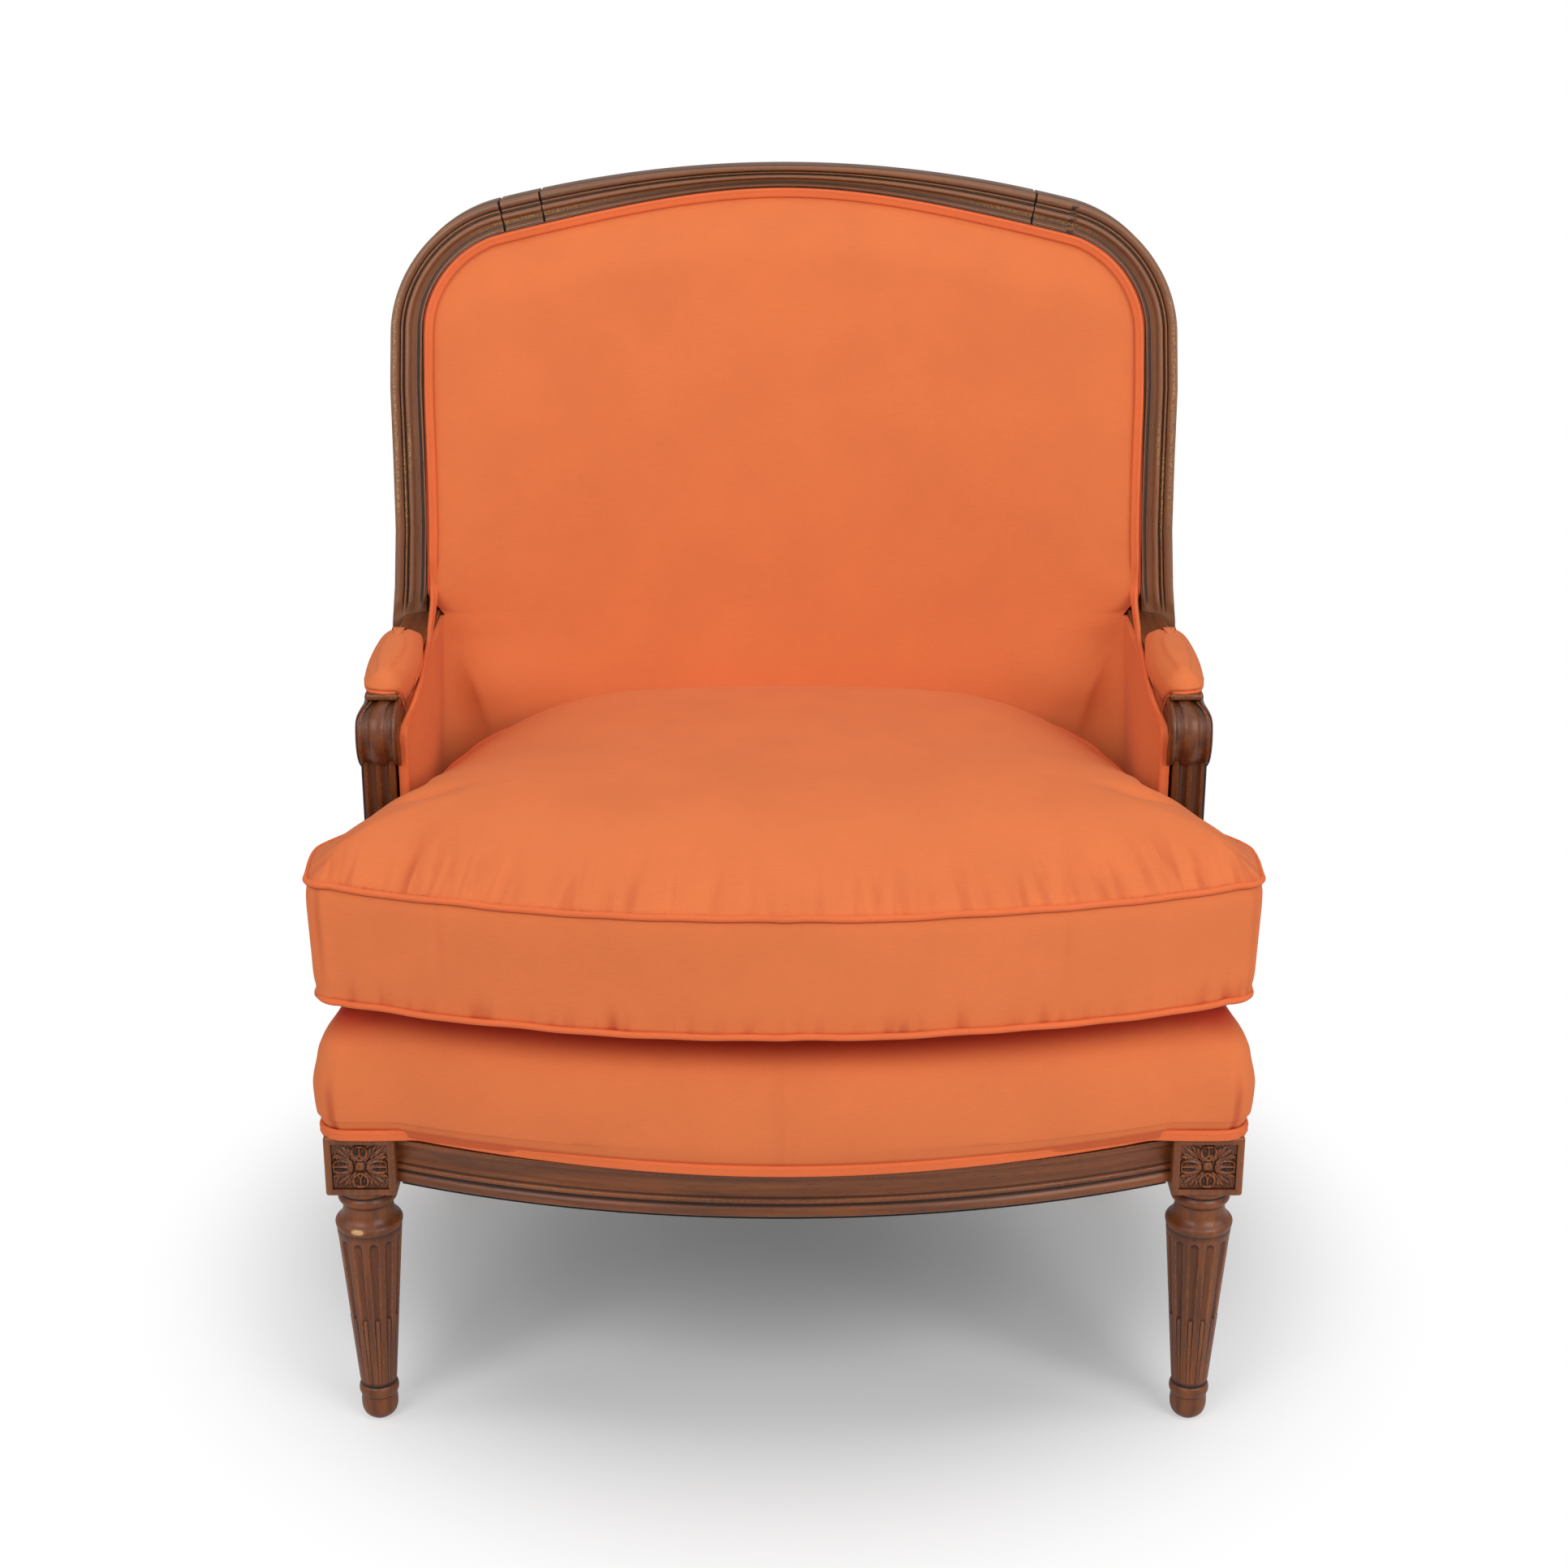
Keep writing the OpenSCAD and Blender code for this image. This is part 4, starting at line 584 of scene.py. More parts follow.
edge_us = np.array([
    0, 0.004, 0.012, 0.024, 0.04, 0.06, 0.085, 0.115, 0.145, 0.175, 0.2, 0.222, 0.24, 0.253, 0.262, 0.27, 0.28, 0.29,
    0.3, 0.307, 0.315, 0.328, 0.343, 0.358, 0.371, 0.379, 0.387, 0.395, 0.405, 0.415, 0.422, 0.432, 0.446, 0.465, 0.49,
    0.515, 0.54, 0.565, 0.59, 0.612, 0.63, 0.65, 0.672, 0.696, 0.72, 0.745, 0.768, 0.788, 0.8, 0.808, 0.816, 0.83,
    0.85, 0.87, 0.888, 0.903, 0.911, 0.917, 0.925, 0.938, 0.95, 0.957, 0.964, 0.98, 0.995, 1])
lifts = np.full(len(edge_us), -0.9)
for bead, half, height in ((0.128, 0.15, 3.7), (0.343, 0.042, 1.9), (0.53, 0.108, 4.6)):
    lifts = np.maximum(lifts, height * np.sqrt(np.clip(1 - ((edge_us - bead) / half) ** 2, 0, 1)) - 0.9)
hollow_run = np.clip((edge_us - 0.615) / 0.19, 0, 1)
lifts = np.where((edge_us > 0.615) & (edge_us < 0.805), np.maximum(lifts, 1.7 - 2.9 * hollow_run ** 0.75), lifts)
cove_run = np.clip((edge_us - 0.805) / 0.1, 0, 1)
lifts = np.where((edge_us >= 0.805) & (edge_us < 0.91), -1.0 + 1.9 * cove_run ** 2, lifts)
lifts = np.where((edge_us >= 0.91) & (edge_us < 0.955), 1.7, lifts)
lifts = np.where(edge_us >= 0.955, 0.5, lifts)
lifts[0] = -1.6
section = np.concatenate([np.stack([edge_us, lifts], 1),
                          [(1, -29), (0.97, -31), (0.85, -32), (0.15, -32), (0.03, -31), (0, -29)]])
moulded = section[:, 1] > -16


def frame_ring(way):
    """One section of the back frame, in drawing mm: its moulding dies out into the block above the arm."""
    at, inward = outline_at(way)
    relief = smooth((at[1] - 575) / 12) if way[0] == "stile" else 1.0
    lift = np.where(moulded, section[:, 1] * relief, section[:, 1])
    spots = at + np.outer(section[:, 0] * moulding_width(at[0]), inward)
    return np.stack([spots[:, 0], gondola_y(spots[:, 0], spots[:, 1]) - lift, spots[:, 1]], 1)


def frame_piece(name, ways, start_seam=0.0, end_seam=0.0):
    """A run of the frame through these places, with its ends cut to a wavering seam and a board of its own."""
    rings = np.array([frame_ring(way) for way in ways])
    waver = np.sin(section[:, 0] * 9) + 0.6 * np.sin(section[:, 0] * 23 + 1)
    for end, seam, beside in ((0, start_seam, 1), (-1, end_seam, -2)):
        if seam:
            into = rings[beside] - rings[end]
            into /= np.linalg.norm(into, axis=1)[:, None]
            rings[end] += into * (seam + 0.3 + (waver + 1.6) * 0.3)[:, None]
    piece = drawn_out(name, rings)
    middle = rings.mean(1)
    along = np.concatenate([[0], np.cumsum(np.linalg.norm(np.diff(middle, axis=0), axis=1))])
    board = sum(ord(letter) * (place + 3) for place, letter in enumerate(name)) % 97 / 10
    carry(piece, "grain", [(a / 1000 + board, u * 0.027, v / 1000) for a in along for u, v in section])
    gilt = np.zeros((len(rings), len(section)))
    for u, low, high in ((0.128, 655, 850), (0.34, 640, 720), (0.53, 700, 740), (0.72, 895, 930), (0.8, 905, 915)):
        band = np.exp(-((section[:, 0] - u) / 0.05) ** 2) * moulded
        worn = smooth((middle[:, 2] - low) / 12) * smooth((high - middle[:, 2]) / 12)
        gilt = np.maximum(gilt, np.outer(worn, band))
    carry(piece, "gilt", gilt.ravel() * 0.8)
    return piece


def eased_box(low, high, ease, segments=3):
    """A planed block between two corners in drawing mm, with its edges eased."""
    low, high = np.array(low, float), np.array(high, float)
    block = sawn_block((low + high) / 2, high - low)
    bpy.ops.object.mode_set(mode="EDIT")
    bpy.ops.mesh.select_all(action="SELECT")
    bpy.ops.mesh.bevel(offset=ease / 1000, segments=segments, affect="EDGES")
    bpy.ops.object.mode_set(mode="OBJECT")
    return block


def splay_ways(first, last, count):
    return [("crest", x) for x in np.linspace(first, last, count)]


stile_ways = [("stile", z) for z in (*np.linspace(266, 570, 12), 575, *np.linspace(577, 589, 7),
                                     *np.linspace(600, 805, 18))]
stile_ways += [("corner", a) for a in np.linspace(0, 78.5, 27)]
corner_end = CORNER_X + CORNER_RADIUS * math.cos(math.radians(78.5))
frame_parts = {}
for side, name, inner, outer in ((1, "right", 226, 264), (-1, "left", 219, 254)):
    stile = frame_piece("back_stile_" + name, stile_ways + splay_ways(corner_end - 1.5, outer, 2), end_seam=0.25)
    splice = frame_piece("crest_splice_" + name + "_moulded", splay_ways(outer, inner, 8), 0.2, 0.1)
    for piece in (stile, splice):
        set_places(piece, places(piece) * (side, 1, 1))
    frame_parts[name] = (stile, splice)
crest = frame_piece("crest_rail_moulded", splay_ways(226, -219, 70), 0.1, 0.1)

for side, name in ((1, "right"), (-1, "left")):
    stile, splice = frame_parts[name]
    block = eased_box((side * 322 - 25, 310, 217), (side * 322 + 25, 360, 266), 1.8)
    top, foot = np.array([side * 322, 339, 221.0]), np.array([side * 305, 410, -9.0])
    axis = (foot - top) / np.linalg.norm(foot - top)
    across = np.cross(axis, (0, 1, 0))
    across /= np.linalg.norm(across)
    back = np.cross(axis, across)
    length = np.linalg.norm(foot - top)
    turns = np.linspace(0, 2 * math.pi, 64, endpoint=False)
    profile = [(22, 0), (22, 3.6), (23.3, 4.6), (24.6, 6.3), (25, 8), (24.6, 9.7), (23.3, 11.4), (22, 12.4)]
    profile += [(22 - 9 * s / length, s) for s in np.linspace(16, length - 40, 20)]
    profile += [(13.6 + b, length - 34 + s) for b, s in ((0.4, -3.6), (1.8, -2.8), (2.9, -1.2), (3, 0), (2.9, 1.2),
                                                        (1.8, 2.8), (0.4, 3.6), (0, 8))]
    floor_step = 9 / abs(axis[2])
    profile += [(13.3, length - floor_step - 3), (12.6, length - floor_step - 1.2)]
    rings = [top + axis * s + np.outer(r * np.cos(turns), across) + np.outer(r * np.sin(turns), back)
             for r, s in profile]
    sole = rings[-1].copy()
    sole[:, 2] = 0
    rings = np.array(rings + [sole])
    rings[:, :, 2] = np.maximum(rings[:, :, 2], 0)
    leg = drawn_out("raked_leg", rings)
    for part in (block, leg):
        carry(part, "grain", places(part)[:, [2, 0, 1]])
    post = joined("rear_leg_stile_" + name + "_moulded", stile, block, leg)
    for piece, node in ((post, "rear_leg_stile_" + name), (splice, "crest_splice_" + name)):
        wear_and_shade_marked(finished(piece, 32))
        hand_over(piece, worn_walnut, "walnut", node)
wear_and_shade_marked(finished(crest, 32))
hand_over(crest, worn_walnut, "walnut", "crest_rail")


# Arms: a straight rail tenoned into the stile, ending in a grooved roll with a volute carved on each cheek.
# A small square step behind the roll holds the front of the pad, and the whole stands on a fluted post.
def cheek(radius, turn):
    """Depth of the volute's groove: a line that winds in from the rim to the eye."""
    depth = np.zeros_like(turn)
    for lap in range(-1, 3):
        wound = 25.5 * np.exp(-0.155 * (turn + 2 * math.pi * lap))
        shown = (wound < 26) & (wound > 7.5)
        depth = np.maximum(depth, shown * 1.5 * np.exp(-((radius - wound) / (0.75 + wound * 0.045)) ** 2))
    eye = 1.0 * np.exp(-((radius - 6.4) / 0.8) ** 2)
    return np.maximum(depth, eye)


ROLL_X, ROLL_Y, ROLL_Z = -322, 129, 548.6
turns = np.linspace(0, 2 * math.pi, 128, endpoint=False)
radii = np.concatenate([[0.4], np.linspace(1.5, 24.5, 32), [25.6, 26.6, 27.4, 28.1, 28.6, 28.9]])
across_roll = np.concatenate([np.linspace(-16, -12.9, 4), np.linspace(-12.4, -5.2, 12), np.linspace(-4.6, 4.6, 8),
                              np.linspace(5.2, 12.4, 12), np.linspace(12.9, 16, 4)])
rims = 29 - 0.035 * np.minimum(np.abs(across_roll), 4.6) ** 2
for groove in (-8.8, 8.8):
    rims = np.minimum(rims, 30.5 - np.sqrt(np.clip(4.4 ** 2 - (across_roll - groove) ** 2, 0, None)))
rims[[0, -1]] -= 0.5


def on_roll(across, r):
    """A ring of the roll at a place across it. Its outer side leans in on top, where it runs into the slab."""
    z = ROLL_Z + r * np.sin(turns)
    lean = 7.4 * np.clip((z - 560.2) / 14.5, 0, 1) ** 3 * (16.9 - across) / 33.8
    return np.stack([ROLL_X + across + lean, ROLL_Y + r * np.cos(turns), z], 1)


sunk = [16.9 - cheek(r, turns) - 1.2 * smooth((r - 27) / 2) for r in radii]
rings = [on_roll(across, r) for across, r in zip(sunk, radii)]
rings += [on_roll(across, r) for across, r in zip(across_roll[::-1], rims[::-1])]
rings += [on_roll(-across, r) for across, r in zip(sunk[::-1], radii[::-1])]
roll = drawn_out("roll", rings)
step = eased_box((-332, 127, 548), (-307.6, 156, 578), 0.8)
slab = eased_box((-333, 119, 576.8), (-306.8, 157, 582), 2.2, 4)
rail_section = softened([(-337.5, 553), (-337.5, 556), (-335.7, 558), (-337.5, 560), (-337.5, 573.5), (-336, 575),
                         (-309, 575), (-307.5, 573.5), (-307.5, 551.5), (-309, 550), (-336, 550), (-337.5, 551.5),
                         (-337.5, 552.5)])
rings = [np.stack([rail_section[:, 0], y + 0 * rail_section[:, 0], rail_section[:, 1]], 1)
         for y in (148, 200, 260, 320, 360, gondola_y(*rail_section.T) + 0.5)]
rail = drawn_out("rail", rings)
for part in (roll, step, slab, rail):
    carry(part, "grain", places(part)[:, [1, 0, 2]] + (4.1, 0, 0))
arm_left = joined("arm_rail_left_scrolled", roll, step, slab, rail)

flute_xs = np.concatenate([np.linspace(-13.5, -9.6, 4), np.linspace(-9.2, -1.3, 10), np.linspace(-0.8, 0.8, 3),
                           np.linspace(1.3, 9.2, 10), np.linspace(9.6, 13.5, 4)])
rings = []
for z in (*np.linspace(266, 279, 4), 280.5, 282, 284, 287, *np.linspace(300, 515, 16), 524, 533):
    cut = np.zeros(len(flute_xs))
    for groove in (-5.25, 5.25):
        tool = 3.9 if z > 284 else math.sqrt(max(3.9 ** 2 - (284 - z) ** 2, 0))
        bite = np.sqrt(np.clip(tool ** 2 - (flute_xs - groove) ** 2, 0, None)) - 1.2
        cut = np.maximum(cut, np.clip(bite, 0, None))
    cut[[0, -1]] = 1.0
    front = np.stack([-323.8 + flute_xs, 112 + cut], 1)
    back = [(-310.3, 151), (-311.3, 152), (-336.3, 152), (-337.3, 151)]
    rings.append([(x, y, z) for x, y in np.concatenate([front, back])])
post_left = drawn_out("arm_post_left_fluted", rings)
carry(post_left, "grain", places(post_left)[:, [2, 0, 1]] + (1.7, 0, 0))
for piece, part, ending in ((arm_left, "arm_rail_", "_scrolled"), (post_left, "arm_post_", "_fluted")):
    wear_and_shade_marked(finished(piece, 38))
    twin = mirrored(piece, part + "right" + ending)
    hand_over(piece, dark_walnut, "walnut", part + "left")
    hand_over(twin, dark_walnut, "walnut", part + "right")


# Sprung seat: cloth strained over hair stuffing and tacked to the rails, with a pleat at each front corner.
# It overhangs the rails a little, and the deck under the cushion is flat.
def cloth_finish(name, colour, deep, gathered=False):
    """Plain woven wool and linen cloth. Its threads run with the piece's weave places, in metres, and the deep colour
    is the painted shade.
    """
    material, shade = start_finish(name)
    weave = shade.attribute("weave", "Vector")
    on_object = shade.node("ShaderNodeTexCoord", out="Object")
    slub = weave.stretched((70, 1500, 0)).noise(1, 2, 0.6)
    warp = weave.stretched((1300, 90, 0)).noise(1, 2, 0.55)
    nap = on_object.noise(900, 3, 0.6)
    cloth = on_object.noise(13, 3, 0.55).between(0.28, 0.72).tint(
        tuple(c * 0.985 for c in colour), tuple(c * 1.015 for c in colour))
    for share, shown in ((slub.between(0.48, 0.74) * 0.2, tuple(c * 0.86 for c in colour)),
                         (warp.between(0.5, 0.8) * 0.1, tuple(c * 0.88 for c in colour)),
                         (nap.between(0.35, 0.7) * 0.1, tuple(min(c * 1.1 + 8, 255) for c in colour)),
                         # Painted shade: where a piece marks its hollows, its colour goes towards the deep colour.
                         (shade.attribute("hollow") * 0.9, deep)):
        cloth = share.tint(cloth, shown)
    height = weave.woven(0.00052) * 0.5 + slub * 0.7 + warp * 0.35 + nap * 0.5
    if gathered:
        drawn = shade.attribute("gather", "Vector").stretched((62, 9, 0)).noise(1, 2, 0.45, 0.5)
        fold = drawn.between(0.52, 0.7) * shade.attribute("pull")
        # Painted shade: the gathered folds are painted towards the deep colour as well as given relief.
        cloth = (fold * 0.3).tint(cloth, deep)
        height = height - fold * 9
    end_finish(shade, {
        "Base Color": cloth, "Roughness": 0.86 + nap * 0.1, "Normal": height.relief(0.3, 0.00035),
        "Specular IOR Level": 0.25, "Sheen Weight": 0.12, "Sheen Roughness": 0.45,
        "Sheen Tint": paint((255, 190, 150))})
    return material


ORANGE = (220, 117, 67)
# The deep red painted as shade in the creases, seams and folds of the cloth and under the cushion.
SHADE_RED = (160, 26, 15)
orange_cloth = cloth_finish("orange_cloth", ORANGE, SHADE_RED)
gathered_cloth = cloth_finish("gathered_orange_cloth", ORANGE, SHADE_RED, gathered=True)


def arc(x, y, radius, degrees):
    """Points on a circle round x and y, at these angles."""
    return [(x + radius * math.cos(a), y + radius * math.sin(a)) for a in np.radians(degrees)]


def t_plan(half_w, front_y, end, corner, ear_y, body_w, back_y, back_r):
    """Plan of a seat or cushion with ears in front of the arm posts, anticlockwise from the middle of the front."""
    sag = end[1] - front_y
    bow = (end[0] ** 2 + sag ** 2) / (2 * sag)
    half = [(x, front_y + bow - math.sqrt(bow ** 2 - x ** 2)) for x in np.linspace(4, end[0], 62)[1:]]
    half += arc(half_w - corner, end[1] + corner, corner, np.linspace(-82, 0, 13))
    half += [(half_w, y) for y in np.linspace(end[1] + corner + 5, ear_y - 12, 14)]
    half += arc(half_w - 9, ear_y - 9, 9, (15, 45, 75))
    half += [(x, ear_y) for x in np.linspace(half_w - 10, body_w + 8, 10)]
    half += arc(body_w + 6, ear_y + 6, 6, (-115, -155))
    big = 642
    centre_x, centre_y = body_w - back_r, back_y - big
    corner_y = centre_y + math.sqrt((big - back_r) ** 2 - centre_x ** 2)
    sweep = math.degrees(math.acos(centre_x / (big - back_r)))
    half += [(body_w, y) for y in np.linspace(ear_y + 8, corner_y - 4, 34)]
    half += arc(centre_x, corner_y, back_r, np.linspace(0, sweep, 16))
    half += arc(0, centre_y, big, np.linspace(sweep, 90, 40)[1:-1])
    half = np.array(half)
    return np.concatenate([[(0, front_y)], half, [(0, back_y)], (half * (-1, 1))[::-1]])


SEAT_MIDDLE = (0, 62)


def set_in(plan, inset, z, middle=SEAT_MIDDLE):
    """The plan drawn in from its edge: square to it for the first few mm and then towards its middle."""
    edge = np.roll(plan, -1, 0) - np.roll(plan, 1, 0)
    inward = np.stack([-edge[:, 1], edge[:, 0]], 1) / np.linalg.norm(edge, axis=1)[:, None]
    square = min(inset, 9)
    spots = plan + square * inward
    away = spots - middle
    spots = middle + away * (1 - np.minimum((inset - square) / np.linalg.norm(away, axis=1), 0.97))[:, None]
    return np.column_stack([spots, np.broadcast_to(z, len(spots))])


def run_round(ring):
    """How far along a closed ring each of its points lies, in metres."""
    steps = np.linalg.norm(np.roll(ring, -1, 0) - ring, axis=1)
    return np.concatenate([[0], np.cumsum(steps)[:-1]]) / 1000


deck_plan = t_plan(364, -82, (300, -31), 24, 104, 292, 383, 66)
ears = smooth((np.abs(deck_plan[:, 0]) - 325) / 25) * smooth((deck_plan[:, 1] - 2) / 60)
deck_plan[:, 0] -= 7.5 * np.sign(deck_plan[:, 0]) * ears
DECK_PROFILE = [(3, 264.4), (2.4, 269), (1.4, 272), (-0.4, 276), (-2.6, 283), (-3.8, 298), (-4.0, 314), (-2.6, 326),
                (-0.8, 336), (3, 344), (8, 351), (15, 359.5), (22, 367), (31, 374.5), (42, 380.2), (60, 380.4)]
profile = np.concatenate([[(60, 262), (14, 262)], softened(DECK_PROFILE), [(p, 380.2) for p in (90, 130, 180, 240)]])
along = run_round(deck_plan)
outward = deck_plan - SEAT_MIDDLE
outward = outward / np.linalg.norm(outward, axis=1)[:, None]
pleats = np.zeros(len(deck_plan))
for side in (-1, 1):
    for x, y, deep in ((side * 350, -27.5, 1.6), (side * 363.5, -8, 1.3)):
        gap = np.hypot(deck_plan[:, 0] - x, deck_plan[:, 1] - y)
        pleats = np.maximum(pleats, deep * np.exp(-(gap / 2.6) ** 2))
rings, weave, painted_shade = [], [], []
for inset, z in profile:
    ring = set_in(deck_plan, inset, z)
    ring[:, 2] += 3.8 * smooth(np.abs(ring[:, 0]) / 300) if 262 <= z < 282 else 0
    taper = 2.8 * smooth((z - 306) / 24) * (1 - smooth((z - 350) / 24))
    ring[:, 0] -= taper * np.sign(ring[:, 0]) * smooth((np.abs(ring[:, 0]) - 320) / 30)
    pleat = pleats * smooth((330 - z) / 40) * (z > 268)
    ring[:, :2] -= outward * pleat[:, None]
    rings.append(ring)
    top = smooth((z - 372) / 6)
    weave.append(np.stack([along * (1 - top) + ring[:, 0] / 1000 * top,
                           (z / 1000) * (1 - top) + ring[:, 1] / 1000 * top, 0 * along], 1))
    # Painted shade: darker in the pleats and along the foot by the welt, and deep red over the roll and top that lie
    # under the cushion.
    painted_shade_under_cushion = 0.95 * smooth((z - 343) / 24)
    painted_shade.append(np.minimum(pleat * 0.45, 0.6) + 0.5 * smooth((273 - z) / 3) + painted_shade_under_cushion)
deck = drawn_out("sprung_seat", rings)
carry(deck, "weave", np.concatenate(weave))
carry(deck, "hollow", np.concatenate(painted_shade))
finished(deck, 60)
hand_over(deck, orange_cloth, "orange_cloth", "seat_cover", "seat_stuffing")


# Double welt of the seat: two cords in one strip of cloth, glued over the tacks from post to post.
# The lower cord is the thinner one, and a line of stitches runs between them.
def double_cord(upper, lower, thick):
    """Section of two cords side by side: across the strip, out from it, and how much painted shade it takes in the seam
    between them.
    """
    seam = [(0.35, 0.28 * thick, 0.5), (0, 0.2 * thick, 1.0), (-0.35, 0.28 * thick, 0.5)]
    top = [(upper / 2 + upper / 2 * math.cos(a), thick / 2 * math.sin(a), 0)
           for a in np.radians(np.linspace(-90, 158, 13))]
    low = [(-lower / 2 + lower / 2 * math.cos(a), thick * 0.46 * math.sin(a), 0)
           for a in np.radians(np.linspace(22, 270, 13))]
    return np.array(top + seam + low + [(0, -thick * 0.42, 0)])


def eased_route(points, step):
    """A smooth route through the points, with a place every step mm; all columns are carried along."""
    points = np.asarray(points, float)
    ends = np.concatenate([[2 * points[0] - points[1]], points, [2 * points[-1] - points[-2]]])
    out = []
    for a, b, c, d in zip(ends[:-3], ends[1:-2], ends[2:-1], ends[3:]):
        parts = max(1, int(np.linalg.norm((c - b)[:3]) / step))
        for t in np.arange(parts) / parts:
            out.append(0.5 * (2 * b + (c - a) * t + (2 * a - 5 * b + 4 * c - d) * t ** 2
                              + (3 * b - a - 3 * c + d) * t ** 3))
    return np.array(out + [points[-1]])


def cord_strip(name, route, section, looped=False, stitches=0.0):
    """A welt laid along a route of places and outward directions, with this section."""
    path, outs = route[:, :3], route[:, 3:6]
    if looped:
        along = np.roll(path, -1, 0) - np.roll(path, 1, 0)
    else:
        along = np.gradient(path, axis=0)
    along /= np.linalg.norm(along, axis=1)[:, None]
    across = np.cross(outs, along)
    across /= np.linalg.norm(across, axis=1)[:, None]
    out = np.cross(across, along)
    rings = path[:, None] + section[None, :, 0, None] * across[:, None] + section[None, :, 1, None] * out[:, None]
    strip = drawn_out(name, rings, looped)
    run = np.concatenate([[0], np.cumsum(np.linalg.norm(np.diff(path, axis=0), axis=1))]) / 1000
    girth = np.cumsum(np.linalg.norm(section[:, :2] - np.roll(section[:, :2], 1, 0), axis=1)) / 1000
    # Painted shade in the seams of the section; along the stitch line it comes and goes with the real stitches.
    seam = np.tile(section[:, 2], len(run))
    weave = np.stack([np.repeat(run, len(girth)), np.tile(girth, len(run)), 0 * seam], 1)
    if stitches:
        seam = seam * (0.7 + 0.3 * np.sin(2 * math.pi * np.repeat(run, len(girth)) / stitches))
    if looped:
        seam = np.concatenate([seam, seam[:len(girth)]])
        weave = np.concatenate([weave, weave[:len(girth)]])
    carry(strip, "weave", weave)
    carry(strip, "hollow", seam)
    if looped:
        picked(strip)
        bpy.ops.object.mode_set(mode="EDIT")
        bpy.ops.mesh.select_all(action="SELECT")
        bpy.ops.mesh.remove_doubles(threshold=0.00002)
        bpy.ops.object.mode_set(mode="OBJECT")
    return finished(strip, 70)


def over_chair(half, side=-1):
    """A route over the chair, from one foot on that side down to the other: the half ends in the middle."""
    other = [(-x, y, z, -a, b, c) for x, y, z, a, b, c in half]
    first, last = (other, half) if side < 0 else (half, other)
    return first + last[-2::-1]


# Its deep colour is painted shade in the seams of the welts.
orange_welt = cloth_finish("orange_welt_cloth", (224, 110, 62), (160, 36, 22))


def front_rail_y(x):
    return FRONT_BOW[1] - np.sqrt(FRONT_BOW[0] ** 2 - np.square(x))


half = [(357.9, 106, 1, 0), (357.9, 45, 1, 0), (359.4, 30, 1, 0), (362.2, 12, 1, 0), (362.4, -4, 1, -0.1)]
half += [(342.8 + 19.6 * a, -9.8 + 19.6 * b, a, b) for a, b in arc(0, 0, 1, (-12, -35, -58, -80))]
half += [(330, -29.8, 0, -1), (314, -29.7, 0.05, -1), (301, -29.3, 0.16, -1)]
half += [(x, front_rail_y(x) - 1.7, x / FRONT_BOW[0], -1) for x in (*range(285, 0, -20), 0)]
half = [(x, y, 263.9 + 4.6 * float(smooth(x / 300)), ox, oy, 0.0) for x, y, ox, oy in half]
seat_welt = cord_strip("seat_double_welt_corded", eased_route(over_chair(half), 4), double_cord(5.4, 3.8, 4.2),
                       stitches=0.0032)
hand_over(seat_welt, orange_welt, "orange_welt", "seat_double_welt")


# Inside back and arms: one cloth from post to post over hair stuffing, strained round the hollow of the back.
# It is tacked along the frame's inner edge and down the arm posts, and is fullest in the middle of the back.
WALL_TURN = np.array([(290, 72), (470, 60), (530, 30), (572, 6)])
WALL_TOP, BACK_FOOT = 570, 576
BACK_END, TURN_END = 0.5, 0.72


def wall_place(p, z, depth):
    """The wall from the left post, p of -1, round the back to the right post, p of 1, brought in by a depth."""
    p, z, depth = np.broadcast_arrays(p, z, depth)
    q = np.abs(p)
    r = np.maximum(np.interp(z, WALL_TURN[:, 0], WALL_TURN[:, 1]) - depth, 3)
    big = BACK_RADIUS - depth
    centre_y = gondola_y(0, z) - BACK_RADIUS
    corner_x = 309 - depth - r
    corner_y = centre_y + np.sqrt((big - r) ** 2 - corner_x ** 2)
    turn = np.arccos(corner_x / (big - r))
    back = math.pi / 2 - (math.pi / 2 - turn) * q / BACK_END
    corner = turn * (1 - (q - BACK_END) / (TURN_END - BACK_END))
    x = np.where(q <= BACK_END, big * np.cos(back), corner_x + r * np.where(q <= TURN_END, np.cos(corner), 1))
    y = np.where(q <= BACK_END, centre_y + big * np.sin(back),
                 np.where(q <= TURN_END, corner_y + r * np.sin(corner),
                          corner_y + (120 - corner_y) * (q - TURN_END) / (1 - TURN_END)))
    return np.stack([np.sign(p) * x, y, z], -1)


def inner_edge(way, inset=0.0):
    at, inward = outline_at(way)
    return at + inward * (moulding_width(at[0]) + inset)


edge_ways = [("stile", CORNER_Z)] + [("corner", a) for a in range(4, 79, 4)]
inner_line = np.array([inner_edge(way) for way in edge_ways + splay_ways(250, 0, 26)])


def inner_top(x):
    return np.interp(np.abs(x), inner_line[::-1, 0], inner_line[::-1, 1])


def back_place(f, z, depth):
    """The back from its left edge, f of -1, to its right, blended into the wall below arm height."""
    low = wall_place(BACK_END * f, np.minimum(z, 572), depth)
    x = f * (318.8 - depth * 0.3)
    t = smooth((z - 568) / (44 - 20 * smooth((np.abs(f) - 0.85) / 0.15)))
    y = (low[..., 1] + 0.23 * np.maximum(0, z - 572)) * (1 - t) + (gondola_y(x, z) - depth) * t
    return np.stack([low[..., 0] * (1 - t) + x * t, y, z], -1)


def back_depth(f, z):
    side = 1 - smooth((z - 500) / 54) * np.abs(f) ** 5
    head = 1 - smooth((z - inner_top(f * 316) + 70) / 70) ** 2
    return 27 * side * head * (0.3 + 0.7 * smooth((z - 300) / 140))


